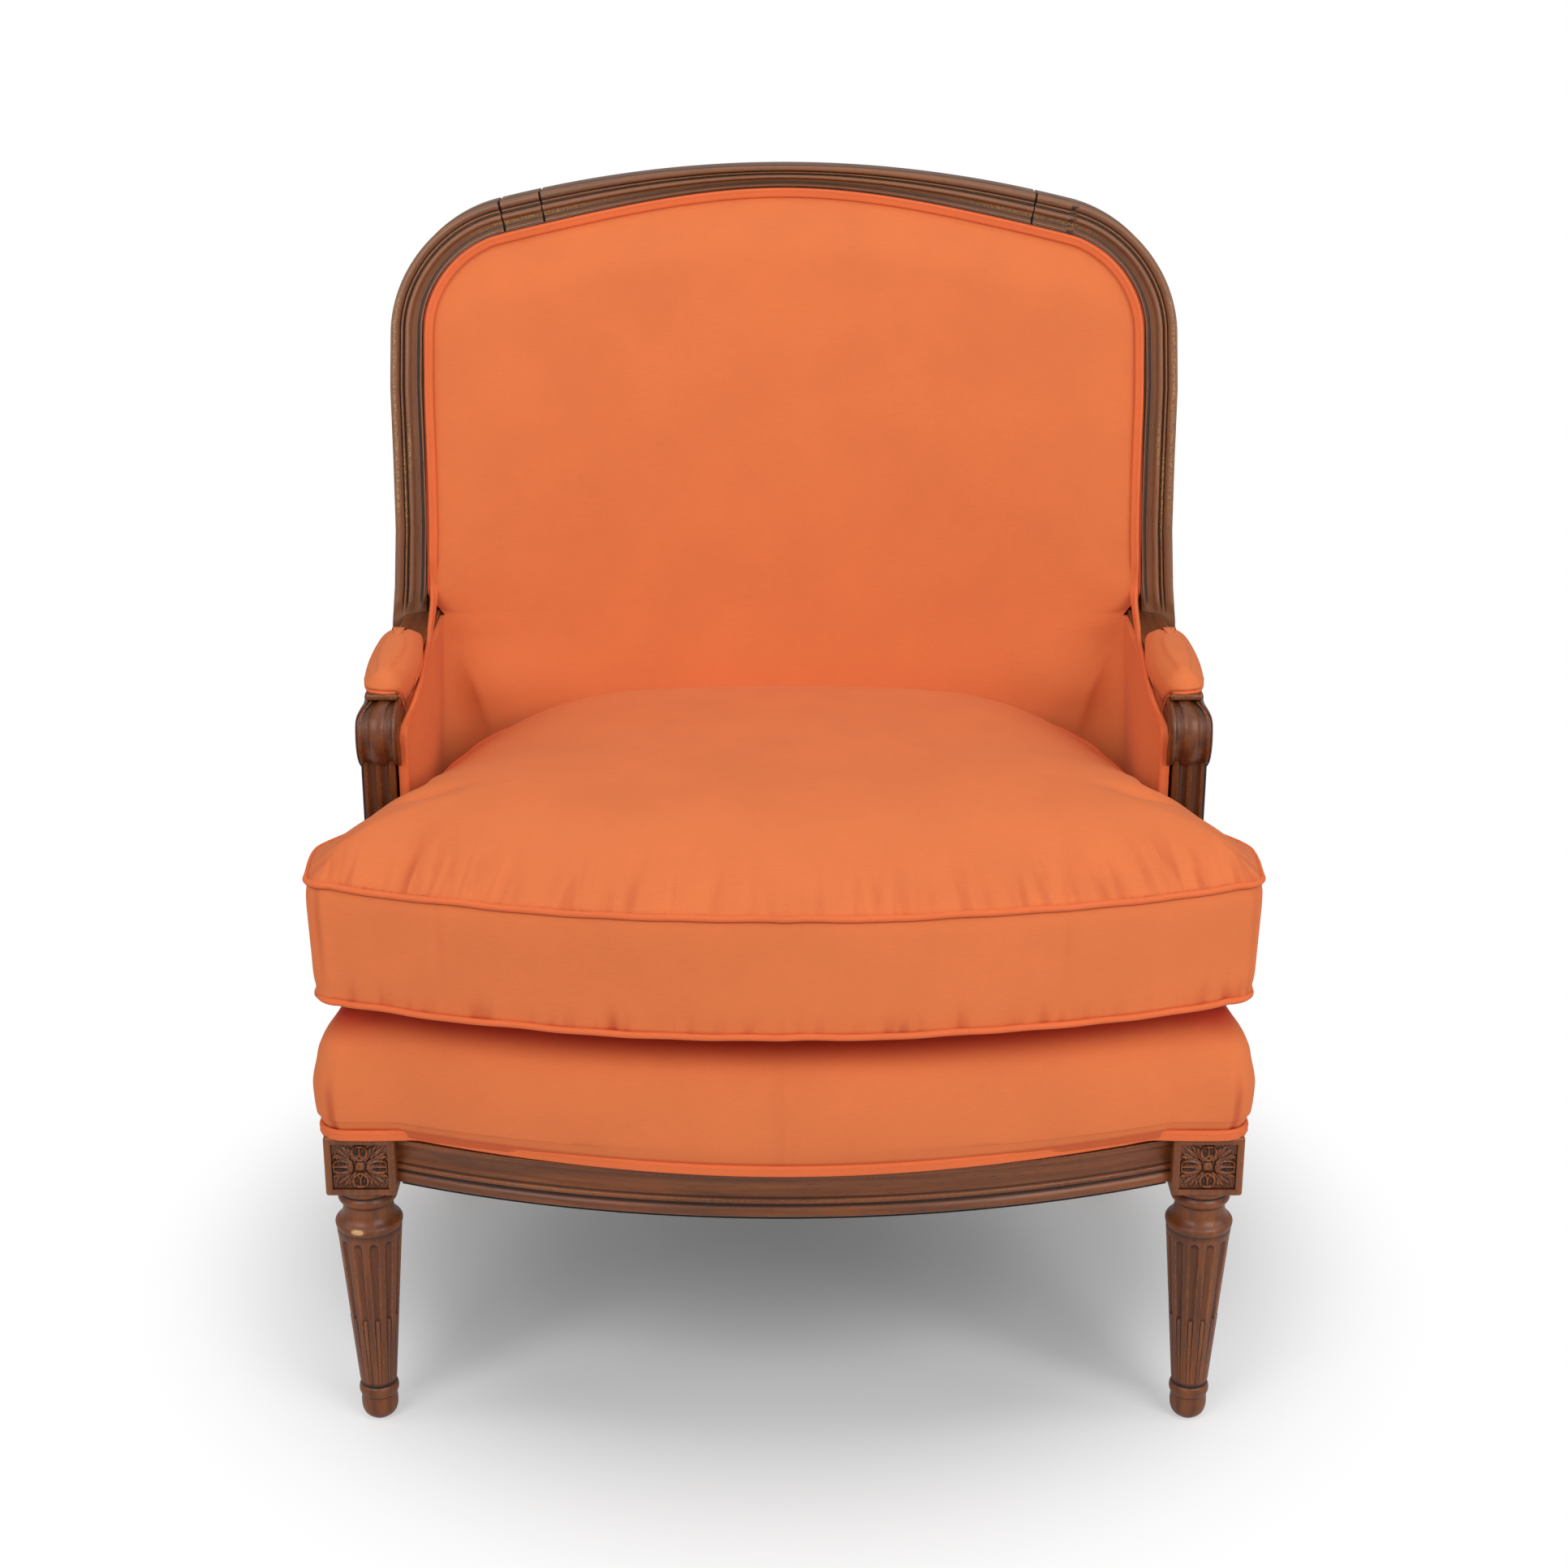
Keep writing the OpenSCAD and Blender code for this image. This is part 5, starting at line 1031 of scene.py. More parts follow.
def arm_depth(p, z):
    front = smooth((1 - np.abs(p)) / 0.05)
    rear = smooth((np.abs(p) - 0.6) / 0.3)
    return 13 * front * rear * (1 - 0.35 * smooth((z - 500) / 70)) * smooth((z - 300) / 120)


def wall_depth(p, z):
    t = smooth((np.abs(p) - 0.44) / 0.26)
    return back_depth(np.clip(p / BACK_END, -1, 1), z) * (1 - t) + arm_depth(p, z) * t


def full(depth, edge=3.2):
    return np.sqrt(np.square(depth) + edge ** 2)


def pulled(run, edge):
    """Small tension folds that start at the tacks, about 25 mm apart, and die out within a few cm."""
    folds = np.sin(run / 4.1 + 2.2 * np.sin(run / 31)) * (0.6 + 0.4 * np.sin(run / 17 + 1))
    return 0.42 * folds * np.exp(-edge / 16) * (1 - np.exp(-edge / 3))


arm_count, back_count = 34, 110
arm_ps = np.linspace(BACK_END, 1, arm_count + 1)[1:]
low_ps = np.concatenate([-arm_ps[::-1], np.linspace(-BACK_END, BACK_END, back_count + 1), arm_ps])
low_zs = np.linspace(290, WALL_TOP, 48)
up_cs = np.linspace(-1, 1, back_count + 1)
up_fs = np.sign(up_cs) * (1 - (1 - np.abs(up_cs)) ** 1.35)
up_tops = inner_top(up_fs * 317.5) - 0.8
up_ts = np.linspace(0, 1, 70)

P, Z = np.meshgrid(low_ps, low_zs)
Z = Z - 17 * smooth((np.abs(P) - 0.955) / 0.03) * smooth((Z - 500) / 70)
low_depth = full(wall_depth(P, Z)) * (0.25 + 0.75 * smooth((1.02 - np.abs(P)) / 0.05))
low_front = wall_place(P, Z, low_depth)
F, T = np.meshgrid(up_fs, up_ts)
up_z = BACK_FOOT + (up_tops[None] - BACK_FOOT) * T
edge_gap = np.minimum(up_tops[None] - up_z, (1 - np.abs(F)) * 316)
up_depth = full(back_depth(F, up_z)) + pulled(F * 316 + up_z, edge_gap)
up_front = back_place(F, up_z, up_depth)
front = np.concatenate([low_front.reshape(-1, 3), up_front.reshape(-1, 3)])
rear = np.concatenate([wall_place(P, Z, 0.3).reshape(-1, 3), back_place(F, up_z, 0.3).reshape(-1, 3)])
low_ids = np.arange(P.size).reshape(P.shape)
up_ids = P.size + np.arange(F.size).reshape(F.shape)
joint = low_ids[-1, arm_count:arm_count + back_count + 1]


def quads(ids):
    return np.stack([ids[:-1, :-1], ids[:-1, 1:], ids[1:, 1:], ids[1:, :-1]], -1).reshape(-1, 4)


cells = np.concatenate([quads(low_ids), quads(np.stack([joint, up_ids[0]])), quads(up_ids)])
rim = np.concatenate([low_ids[0], low_ids[1:, -1], low_ids[-1, -2:-2 - arm_count:-1], up_ids[:, -1], up_ids[-1, -2::-1],
                      up_ids[-2::-1, 0], low_ids[-1, arm_count::-1], low_ids[-2:0:-1, 0]])
after_rim = np.roll(rim, -1)
count = len(front)
faces = np.concatenate([cells, cells[:, ::-1] + count, np.stack([rim, rim + count, after_rim + count, after_rim], 1)])
mesh = bpy.data.meshes.new("inside_back_upholstered")
mesh.from_pydata(metres(np.concatenate([front, rear])).tolist(), [], faces.tolist())
mesh.update()
inside_back = bpy.data.objects.new("inside_back_upholstered", mesh)
bpy.context.scene.collection.objects.link(inside_back)
side_run = np.maximum(np.abs(P) - BACK_END, 0) / (1 - BACK_END) * 270 * np.sign(P)
low_run = (np.clip(P, -BACK_END, BACK_END) / BACK_END * 328 + side_run) / 1000
low_weave = np.stack([low_run, Z / 1000, 0 * P], -1)
up_weave = np.stack([F * 0.328, up_z * 1.02 / 1000, 0 * F], -1)
weave = np.concatenate([low_weave.reshape(-1, 3), up_weave.reshape(-1, 3)])
carry(inside_back, "weave", np.tile(weave, (2, 1)))
# Painted shade: darker along the welt at the frame's edge and beside the arm posts.
up_edge_shade = 0.75 * np.exp(-(edge_gap / 6.5) ** 2)
low_edge_shade = 0.75 * np.exp(-(((1 - np.abs(P)) * 480) / 5.5) ** 2)
carry(inside_back, "hollow", np.tile(np.concatenate([low_edge_shade.ravel(), up_edge_shade.ravel()]), 2))
finished(inside_back, 60)
hand_over(inside_back, orange_cloth, "orange_cloth", "inside_back_cover", "back_stuffing")


# Double welt of the inside back: glued over the tacks from the foot of one arm post, up and round the frame,
# and down the other. Behind each scroll it hooks from under the arm to the post.
def welt_line(stile_zs, inset, off):
    """A welt's places from a stile to the middle of the crest: this far in from the edge and off the cylinder."""
    half = []
    for way in ([("stile", z) for z in stile_zs] + [("corner", a) for a in range(2, 79, 8)]
                + [("crest", x) for x in (*range(230, 10, -22), 0)]):
        x, z = inner_edge(way, inset)
        facing = math.copysign(1, off) / BACK_RADIUS
        half.append((x, gondola_y(x, z) + off, z, facing * x, facing * math.sqrt(BACK_RADIUS ** 2 - x ** 2), 0))
    return half


half = [(303.9, 116.4, z, 0, -1, 0) for z in (292, 340, 400, 460, 500, 540)]
half += [(303.4, 118, 551, -0.3, -0.95, 0), (301.8, 130, 556.5, -0.9, -0.3, 0.1)]
half += [(x, y, z, -1, 0, 0.1) for x, y, z in ((297.6, 143, 565), (296.2, 160, 570), (296.3, 180, 571.6),
                                               (299, 215, 572), (302.3, 257, 572), (305.8, 305, 572))]
half += [(309.2, 338, 573.5, -0.95, -0.3, 0.1), (312.4, gondola_y(312.4, 590) - 6, 590, -0.55, -0.85, 0)]
half += welt_line((622, 640, 680, 720, 760, 795), 4.9, -5.4)
back_welt = cord_strip("inside_back_double_welt_corded", eased_route(over_chair(half), 4), double_cord(4.1, 4.1, 4.2),
                       stitches=0.0032)
hand_over(back_welt, orange_welt, "orange_welt", "inside_back_double_welt")


# Outside back: cloth strained over the rear of the frame and tacked, from the rear rail up to the crest.
# A double welt is glued over the tacks, all the way round.
def there_and_back(face):
    """What lies along each row of a grid, and then along the same row backwards."""
    return np.concatenate([np.concatenate([row, row[::-1]]) for row in face])


def strained(name, face, thick):
    """A thin cloth on a grid of places, with its far side this much further back."""
    return drawn_out(name, [np.concatenate([row, (row + thick)[::-1]]) for row in face])


LOW_EDGE, SIDE_EDGE = 269, 318.5
X, T = np.meshgrid(np.linspace(-SIDE_EDGE, SIDE_EDGE, 61), np.linspace(0, 1, 50))
tops = inner_top(X) - 1.5
Z = LOW_EDGE + (tops - LOW_EDGE) * T
edge = np.minimum(np.minimum(Z - LOW_EDGE, tops - Z), SIDE_EDGE - np.abs(X))
face = np.stack([X, gondola_y(X, Z) + 28.9 - 0.25 * np.sin((X + Z) / 4.5) * np.exp(-edge / 14), Z], -1)
outside_back = strained("outside_back_strained", face, np.array([0, 1.5, 0]))
carry(outside_back, "weave", there_and_back(face)[:, [0, 2, 1]] / 1000)
# Painted shade: darker along all its edges, beside the welt.
carry(outside_back, "hollow", there_and_back(0.6 * np.exp(-(edge / 5) ** 2)))
finished(outside_back, 60)
hand_over(outside_back, orange_cloth, "orange_cloth", "outside_back_cover")

half = welt_line((278, 330, 400, 480, 560, 640, 720, 795), 4.4, 33.0)
foot = [(x, gondola_y(x, 272) + 33.4, 271.5, x / BACK_RADIUS, 1, 0) for x in range(-300, 301, 30)]
route = eased_route(over_chair(half, 1) + foot + half[:1], 4)
behind_welt = cord_strip("outside_back_double_welt_corded", route[:-1], double_cord(4.1, 4.1, 4.2), True, 0.0032)
hand_over(behind_welt, orange_welt, "orange_welt", "outside_back_double_welt")

# Outside arms: a flat cloth under each arm rail, between the post and the stile.
# It is tacked to their outer faces and to the seat rail.
ARM_CLOTH_LOW, ARM_CLOTH_HIGH = 266.5, 549.5
for side, name in ((-1, "left"), (1, "right")):
    face = []
    for z in np.linspace(ARM_CLOTH_LOW, ARM_CLOTH_HIGH, 30):
        ys = np.linspace(152.4 + 6.6 * (z - ARM_CLOTH_LOW) / 283, gondola_y(337, z) - 1.6, 26)
        pull = 0.2 * np.sin((ys + z) / 4.2) * np.exp(-min(z - ARM_CLOTH_LOW, ARM_CLOTH_HIGH - z) / 12)
        face.append(np.stack([side * (335.6 + 0 * ys + np.abs(pull)), ys, z + 0 * ys], 1))
    cover = strained("outside_arm_strained_" + name, np.array(face), np.array([side * 1.3, 0, 0]))
    carry(cover, "weave", there_and_back(face)[:, [1, 2, 0]] / 1000)
    carry(cover, "hollow", np.zeros(len(cover.data.vertices)))
    finished(cover, 60)
    hand_over(cover, orange_cloth, "orange_cloth", "outside_arm_cover_" + name)


# Arm pads: hair under cloth on each arm rail, tacked down all round and finished with a fine cord.
# The cloth comes to a point at the inner front corner, where it is drawn down over the rail.
PAD_PLAN = [(-328, 336.5), (-333.5, 332), (-336, 319), (-337.6, 290), (-339.2, 250), (-339.6, 205), (-337.4, 165),
            (-333.6, 138), (-328, 124.5), (-319, 121.5), (-310, 123.5), (-305, 133), (-301.6, 160), (-300.6, 190),
            (-302.6, 225), (-307, 262), (-312, 298), (-317, 322), (-321, 333)]
pad_route = eased_route(PAD_PLAN + PAD_PLAN[:3], 5.5)
near_start = np.argmin(np.hypot(*(pad_route[20:] - pad_route[8]).T)) + 20
pad_plan = pad_route[8:near_start]
pad_profile = softened([(6, 571), (1.5, 575.4), (-0.6, 578.4), (-1.8, 582), (-1.2, 587), (1.2, 592), (5.5, 596.2),
                        (11, 599), (16, 600.4), (20, 600.9)], 1)
PAD_MIDDLE, PAD_FOOT = (-322, 235), 576


def thinned(y):
    """How much of its fullness the pad has lost towards its rear end."""
    return 0.96 * smooth((y - 240) / 96)


drop = 22 * np.clip(1 - np.hypot(pad_plan[:, 0] + 302, pad_plan[:, 1] - 152) / 32, 0, 1) ** 1.15
climb = 6.6 * smooth((158 - pad_plan[:, 1]) / 8)
run = run_round(pad_plan) * 1000
rings, weave, painted_shade = [], [], []
for inset, z in pad_profile:
    ring = set_in(pad_plan, inset, z, PAD_MIDDLE)
    low = smooth((590 - z) / 14)
    ring[:, 2] += (climb - drop) * low - thinned(pad_plan[:, 1]) * np.maximum(z - PAD_FOOT, 0)
    ring[:, 0] -= 4.6 * drop / 21 * low
    ring[:, 2] += 0.25 * np.sin(run / 3.7 + np.sin(run / 19)) * smooth((586 - z) / 8)
    rings.append(ring)
    weave.append(np.stack([ring[:, 1], ring[:, 0] * smooth((inset + 2) / 6) + z, 0 * run], 1) / 1000)
    # Painted shade: a dark line round the pad just above its welt.
    painted_shade.append(0.85 * np.exp(-((z - 578.2) / 1.3) ** 2) + 0 * run)
for share in (0.62, 0.35, 0.12):
    ring = rings[len(pad_profile) - 1].copy()
    ring[:, :2] = np.array([-320, 215]) + (ring[:, :2] - (-320, 215)) * share
    ring[:, 2] = PAD_FOOT + (25.3 - 0.4 * share) * (1 - thinned(ring[:, 1]))
    rings.append(ring)
    weave.append(np.stack([ring[:, 1], ring[:, 0] + ring[:, 2], 0 * ring[:, 2]], 1) / 1000)
    painted_shade.append(0 * ring[:, 2])
pad_left = drawn_out("arm_pad_left_stuffed", rings)
carry(pad_left, "weave", np.concatenate(weave))
carry(pad_left, "hollow", np.concatenate(painted_shade))
finished(pad_left, 70)


def single_cord(r, nub):
    """Section of a covered cord with a nub along one side at its seam, painted dark as shade."""
    points = [(r * math.cos(a), r * math.sin(a), 0) for a in np.radians(np.linspace(-150, 150, 17))]
    points += [(-r - 0.35 * nub, 0.3 * r, 1), (-r - nub, 0, 1), (-r - 0.6 * nub, -0.35 * r, 1)]
    return np.array(points)


def facing_out(plan):
    """The directions out of a plan's edge, as three columns of a route."""
    return set_in(plan, -1, 0) - np.column_stack([plan, np.zeros(len(plan))])


edge_line = set_in(pad_plan, -0.1, 576.4, PAD_MIDDLE)
edge_line[:, 2] += climb - drop
edge_line[:, 0] -= 4.6 * drop / 21
route = np.column_stack([edge_line, facing_out(pad_plan)])
welt_left = cord_strip("arm_pad_welt_left_corded", route, single_cord(1.6, 0.3), True)
pads = {"left": pad_left, "right": mirrored(pad_left, "arm_pad_right_stuffed")}
welts = {"left": welt_left, "right": mirrored(welt_left, "arm_pad_welt_right_corded")}
for side in ("left", "right"):
    hand_over(pads[side], orange_cloth, "orange_cloth", "arm_pad_cover_" + side, "arm_pad_stuffing_" + side)
    hand_over(welts[side], orange_welt, "orange_welt", "arm_pad_welt_" + side)


# Loose cushion: feathers in a case of three pieces of cloth, with a cord sewn into the upper and the lower seam.
# The filling swells the case between its seams, and the top panel gathers a little along the front cord.
def cushion_plan(z):
    plan = t_plan(362, -95, (342, -30), 19, 94, 290, 396 + 0.23 * (z - 380.6), 100)
    x, y = np.abs(plan[:, 0]), plan[:, 1]
    ears = smooth((x - 325) / 25) * (2.5 * np.exp(-((y - 30) / 30) ** 2) - 20 * smooth((y - 44) / 44)
                                     - 4 * smooth((392 - z) / 10))
    plan[:, 0] = np.sign(plan[:, 0]) * (x + ears) * (1 - 0.09 * smooth((y - 190) / 150))
    return plan


WELT_HIGH, WELT_LOW = 478, 383.6
CUSHION_PROFILE = [(120, 381.4), (60, 381), (34, 380.2), (22, 377.4), (12, 376.4), (4, 379.6), (0.4, 383.8), (0, 388),
                   (-0.6, 400), (-1.6, 430), (-2.6, 458), (-2.4, 470), (0, 477.4), (2.5, 480.5), (9, 483), (20, 485),
                   (40, 487), (80, 489), (140, 490)]
rings = [set_in(cushion_plan(min(z, WELT_HIGH)), inset + 1.2, z) for inset, z in CUSHION_PROFILE]
for share in (0.8, 0.55, 0.3):
    ring = rings[len(CUSHION_PROFILE) - 1].copy()
    ring[:, :2] = SEAT_MIDDLE + (ring[:, :2] - SEAT_MIDDLE) * share
    rings.append(ring)
cushion = drawn_out("cushion_case", rings)
picked(cushion)
remesh = cushion.modifiers.new("even", "REMESH")
remesh.mode = "VOXEL"
remesh.voxel_size = 0.005
bpy.ops.object.modifier_apply(modifier="even")
from_centre = (0, LEGS_Y / 1000, 0)
before = places(cushion) + from_centre
seam_gap = np.abs(before[:, 2:] - (WELT_HIGH / 1000, WELT_LOW / 1000)).min(1)


def edge_run(spots, plan, batch=8000):
    """How far each place, in metres, lies from the plan's edge and how far round that edge, in mm."""
    gaps, runs = np.empty(len(spots)), np.empty(len(spots))
    runs_round = run_round(plan) * 1000
    edge = np.roll(plan, -1, 0) - plan
    length = np.linalg.norm(edge, axis=1)
    along = edge / length[:, None]
    for start in range(0, len(spots), batch):
        part = spots[start:start + batch, None, :2] * 1000 - plan[None]
        step = np.clip((part * along).sum(2), 0, length)
        reach = np.linalg.norm(part - step[..., None] * along, axis=2)
        nearest = reach.argmin(1)
        rows = np.arange(len(part))
        gaps[start:start + batch] = reach[rows, nearest]
        runs[start:start + batch] = runs_round[nearest] + step[rows, nearest]
    return gaps, runs


seam_plan = cushion_plan(WELT_HIGH)
gap = edge_run(before, seam_plan)[0]
half = [(70, -93), (140, -85), (200, -74), (250, -61), (300, -46), (340, -32), (359, -16), (362, 10), (354, 42),
        (341, 72), (325, 112), (307, 160), (292, 205), (277, 250), (262, 292), (244, 330), (216, 364), (176, 392),
        (100, 412)]
full_line = [(0, -96)] + half + [(0, 418)] + [(-x, y) for x, y in half[::-1]]
full_line = eased_route(full_line + full_line[:1], 6)[:-1]


def fullness(spots, gap):
    """How far the feathers lift the top panel over its seam, in mm: all of it lies within full_line."""
    x, y = spots[:, 0] * 1000, spots[:, 1] * 1000
    within = np.zeros(len(spots), bool)
    for (x0, y0), (x1, y1) in zip(full_line, np.roll(full_line, -1, 0)):
        within ^= ((y0 > y) != (y1 > y)) & (x < (x1 - x0) * (y - y0) / (y1 - y0 + 1e-9) + x0)
    away = np.where(within, edge_run(spots, full_line)[0], 0)
    slope = (47 + 26 * smooth((20 - y) / 90) * (1 - smooth((np.abs(x) - 200) / 120)) + 8 * smooth((y - 90) / 80)
             - 9 * np.exp(-((y - 105) / 50) ** 2))
    steep = smooth((y - 62) / 26)
    rise = 2 + 60 * (1 - np.exp(-away / slope))
    seam_limit = (10 + 34 * steep) * (1 - np.exp(-gap / (6 - 3 * steep))) + 0.8 * gap
    return np.maximum(-3 * np.log(np.exp(-rise / 3) + np.exp(-seam_limit / 3)), 0.1)


on_panel = before[:, 2] > 0.4792
before[on_panel, 2] = (WELT_HIGH + 0.88 * fullness(before, gap)[on_panel]) / 1000 + 0.0008
set_places(cushion, before - from_centre)
pinned = (seam_gap < 0.0045) & (gap < 8)
pins = cushion.vertex_groups.new(name="seams")
pins.add([int(i) for i in np.nonzero(pinned)[0]], 1.0, "REPLACE")
swell = cushion.modifiers.new("swell", "CLOTH")
for name, value in {"quality": 6, "mass": 0.35, "tension_stiffness": 25, "compression_stiffness": 25,
                    "shear_stiffness": 12, "bending_stiffness": 0.6, "use_pressure": True,
                    "uniform_pressure_force": 4.0, "vertex_group_mass": "seams", "pin_stiffness": 6,
                    "shrink_min": -0.012}.items():
    setattr(swell.settings, name, value)
swell.settings.effector_weights.gravity = 0
swell.point_cache.frame_start, swell.point_cache.frame_end = 1, 20
for frame_number in range(1, 21):
    bpy.context.scene.frame_set(frame_number)
bpy.ops.object.modifier_apply(modifier="swell")
bpy.context.scene.frame_set(1)
after = places(cushion) + from_centre
moved = after - before
reach = np.linalg.norm(moved, axis=1)
top_side = before[:, 2] > 0.479
limit = np.where(top_side, 0.008, np.where(before[:, 2] < 0.3842, 0.002, 0.006))
limit = np.where(before[:, 1] > 0.15, np.where(top_side, limit, 0.002), limit)
moved *= np.minimum(1, limit / np.maximum(reach, 1e-6) * np.tanh(reach / limit))[:, None]
set_places(cushion, before + moved - from_centre)
smoothing = cushion.modifiers.new("fine", "SUBSURF")
smoothing.levels = smoothing.render_levels = 1
bpy.ops.object.modifier_apply(modifier="fine")
spots = places(cushion) + from_centre
gap, run = edge_run(spots, seam_plan)
runs = run_round(seam_plan) * 1000
outward = facing_out(seam_plan)
beside = np.stack([np.interp(run, runs, outward[:, k]) for k in (0, 1)], 1)
high, low = spots[:, 2] * 1000 - WELT_HIGH, spots[:, 2] * 1000 - WELT_LOW
near_seam = np.maximum(np.exp(-(high / 5) ** 2), np.exp(-(low / 5) ** 2))
push = np.clip(gap - 0.6, 0, 12) * near_seam * smooth((15 - gap) / 4)
spots[:, :2] += beside * push[:, None] / 1000
on_top, on_foot = (high > 0.6), (low < 0.2)
on_box = ~on_top & ~on_foot
run = np.where(run > runs[-1] / 2, run - runs[-1], run)
chance = np.random.default_rng(11)
fold = np.zeros(len(spots))
for _ in range(74):
    at = chance.uniform(-395, 395)
    wide = chance.uniform(1.6, 3.6)
    deep = chance.uniform(0.3, 1.5) * (0.4 + 0.6 * abs(at) / 395)
    reach_in = chance.uniform(14, 48)
    lean = chance.uniform(-0.3, 0.3)
    ridge = np.exp(-((run - at - lean * gap) / (wide + gap * 0.06)) ** 2)
    fold += deep * ridge * np.exp(-(gap / reach_in) ** 2) * (1 - np.exp(-gap / 3)) * on_top
for _ in range(46):
    at = chance.uniform(-470, 470)
    wide = chance.uniform(2.2, 4.5)
    deep = chance.uniform(0.4, 1.4)
    tall = chance.uniform(7, 20)
    fold += deep * np.exp(-((run - at) / wide) ** 2) * np.exp(-(low / tall) ** 2) * on_box
for at, wide, deep, tall in ((-352, 3, 1.6, 46), (-372, 3.4, 1.2, 60), (-394, 3, 1.3, 52), (366, 3.2, 1.0, 50),
                             (392, 3.4, 1.1, 44), (-250, 3.5, 0.5, 30), (212, 3.5, 0.5, 26)):
    fold += deep * np.exp(-((run - at) / wide) ** 2) * np.exp(-((low - 60) / tall) ** 2) * on_box
cushion.data.update()
normals = np.empty(len(spots) * 3)
cushion.data.vertices.foreach_get("normal", normals)
spots -= normals.reshape(-1, 3) * fold[:, None] / 1000
set_places(cushion, spots - from_centre)
weave = np.stack([np.where(on_box, run / 1000, spots[:, 0]), np.where(on_box, spots[:, 2], spots[:, 1]), 0 * run], 1)
carry(cushion, "weave", weave)
# Painted shade: darker by the seams on the boxing and the bottom, and in the folds.
seam = 0.7 * np.exp(-((np.minimum(np.abs(high), np.abs(low))) / 2.2) ** 2) * (gap < 10) * ~on_top
carry(cushion, "hollow", np.clip(seam + fold * 0.16, 0, 0.8))
# The pull marks where the finish folds the cloth in relief and paints the folds darker as shade.
around_front = smooth((470 - np.abs(run)) / 90)
pull = np.where(on_top, np.exp(-(gap / 34) ** 2) * around_front * (0.35 + 0.65 * smooth(np.abs(run) / 330)), 0)
pull = np.where(on_box, 0.5 * np.exp(-(np.maximum(low, 0) / 13) ** 2) * around_front, pull)
pull = np.where(on_foot, 0.6 * np.exp(-(gap / 18) ** 2), pull)
carry(cushion, "pull", pull)
carry(cushion, "gather", np.stack([run / 1000, np.where(on_top | on_foot, gap, low) / 1000, 0 * run], 1))
finished(cushion, 80)
cushion.name = cushion.data.name = "cushion_filled_case"
hand_over(cushion, gathered_cloth, "orange_cloth", "cushion_top_panel", "cushion_boxing", "cushion_bottom_panel",
          "cushion_filling", body="seat_cushion")

for z, name in ((WELT_HIGH, "top"), (WELT_LOW, "bottom")):
    line = set_in(cushion_plan(z), -0.2, z)
    run = run_round(line) * 1000
    line[:, 2] += 0.5 * np.sin(run / 23 + 2 * np.sin(run / 71)) + 0.25 * np.sin(run / 9)
    route = np.column_stack([line, facing_out(cushion_plan(z))])
    cord = cord_strip("cushion_%s_welt_corded" % name, route, single_cord(2.3, 0.7), True)
    hand_over(cord, orange_welt, "orange_welt", "cushion_%s_welt" % name, body="seat_cushion")


# Webbing: jute straps 50 mm wide, strained over the frame from below, seven front to back and four laced across.
# In the back three upright straps are crossed by three more. Each strap is its own length of a coarse twill.
def jute_finish(name, thread, light, dark):
    """Coarse jute: fat threads over and under each other, with darker gaps where they cross."""
    material, shade = start_finish(name)
    weave = shade.attribute("weave", "Vector")
    cross = weave.woven(thread) * 0.5 + 0.5
    slub = weave.stretched((90, 700, 0)).noise(1, 3, 0.6)
    cloth = cross.between(0.1, 0.75).tint(dark, light)
    cloth = (slub.between(0.42, 0.66) * 0.4).tint(cloth, tuple(c * 0.8 for c in light))
    end_finish(shade, {"Base Color": cloth, "Roughness": 0.92, "Specular IOR Level": 0.2,
                       "Normal": (cross + slub * 0.4).relief(0.6, thread * 0.3)})
    return material


jute = jute_finish("coarse_jute", 0.0016, (168, 132, 84), (96, 68, 38))
strap_stripe = jute_finish("jute_webbing", 0.0022, (156, 118, 72), (88, 60, 34))


def strap(name, route, wide, thick):
    """One strap: a flat band along its route of places and outward directions, with the edges a little rounded."""
    half, bulk = wide / 2, thick / 2
    under = [(-half, 0), (-half + 0.5, -bulk), (-half / 2, -bulk), (0, -bulk), (half / 2, -bulk), (half - 0.5, -bulk)]
    section = under + [(-x, -y) for x, y in under]
    return cord_strip(name, np.array(route, float), np.array([(a, b, 0) for a, b in section]))


def rear_rail_y(x):
    return REAR_BOW[1] + np.sqrt(REAR_BOW[0] ** 2 - np.square(x))


def laid(name, straps, node):
    """The straps as one piece of the chair."""
    piece = finished(joined(name, *straps), 50)
    hand_over(piece, strap_stripe, "jute", node)


down, back = (0, 0, -1), (0, 1, 0)
straps = []
for x in range(-225, 226, 75):
    front, rear = front_rail_y(x) + 16.5, rear_rail_y(x) - 6.5
    ys = np.linspace(front, rear, 40)
    lace = 0.35 * np.cos((ys - 105) * math.pi / 70 + (x // 75 % 2) * math.pi) * ((ys > 35) & (ys < 315))
    straps.append(strap("strap", [(x, y, 222.5 + rise, *down) for y, rise in zip(ys, lace)], 50, 0.9))
STRAP_REACH = 343.5
for k, y in enumerate((70, 140, 210, 280)):
    xs = np.linspace(-STRAP_REACH, STRAP_REACH, 60)
    lace = 0.3 * np.cos(xs * math.pi / 75 + k % 2 * math.pi) * (np.abs(xs) < 262)
    straps.append(strap("strap", [(x, y, 221.3 - rise, *down) for x, rise in zip(xs, lace)], 50, 0.8))
long_way = sum(rear_rail_y(x) - front_rail_y(x) - 23 for x in range(-225, 226, 75)) + 8 * STRAP_REACH
laid("seat_webbing_laced", straps, "seat_webbing")

straps = []
for x in (-150, 0, 150):
    straps.append(strap("strap", [(x, gondola_y(x, z) + 8.5, z, *back) for z in np.linspace(316.5, 899, 40)], 50, 0.9))
for z in (400, 540, 680):
    straps.append(strap("strap", [(x, gondola_y(x, z) + 12.5, z, *back) for x in np.linspace(-315, 315, 50)], 50, 0.9))
laid("back_webbing_laced", straps, "back_webbing")

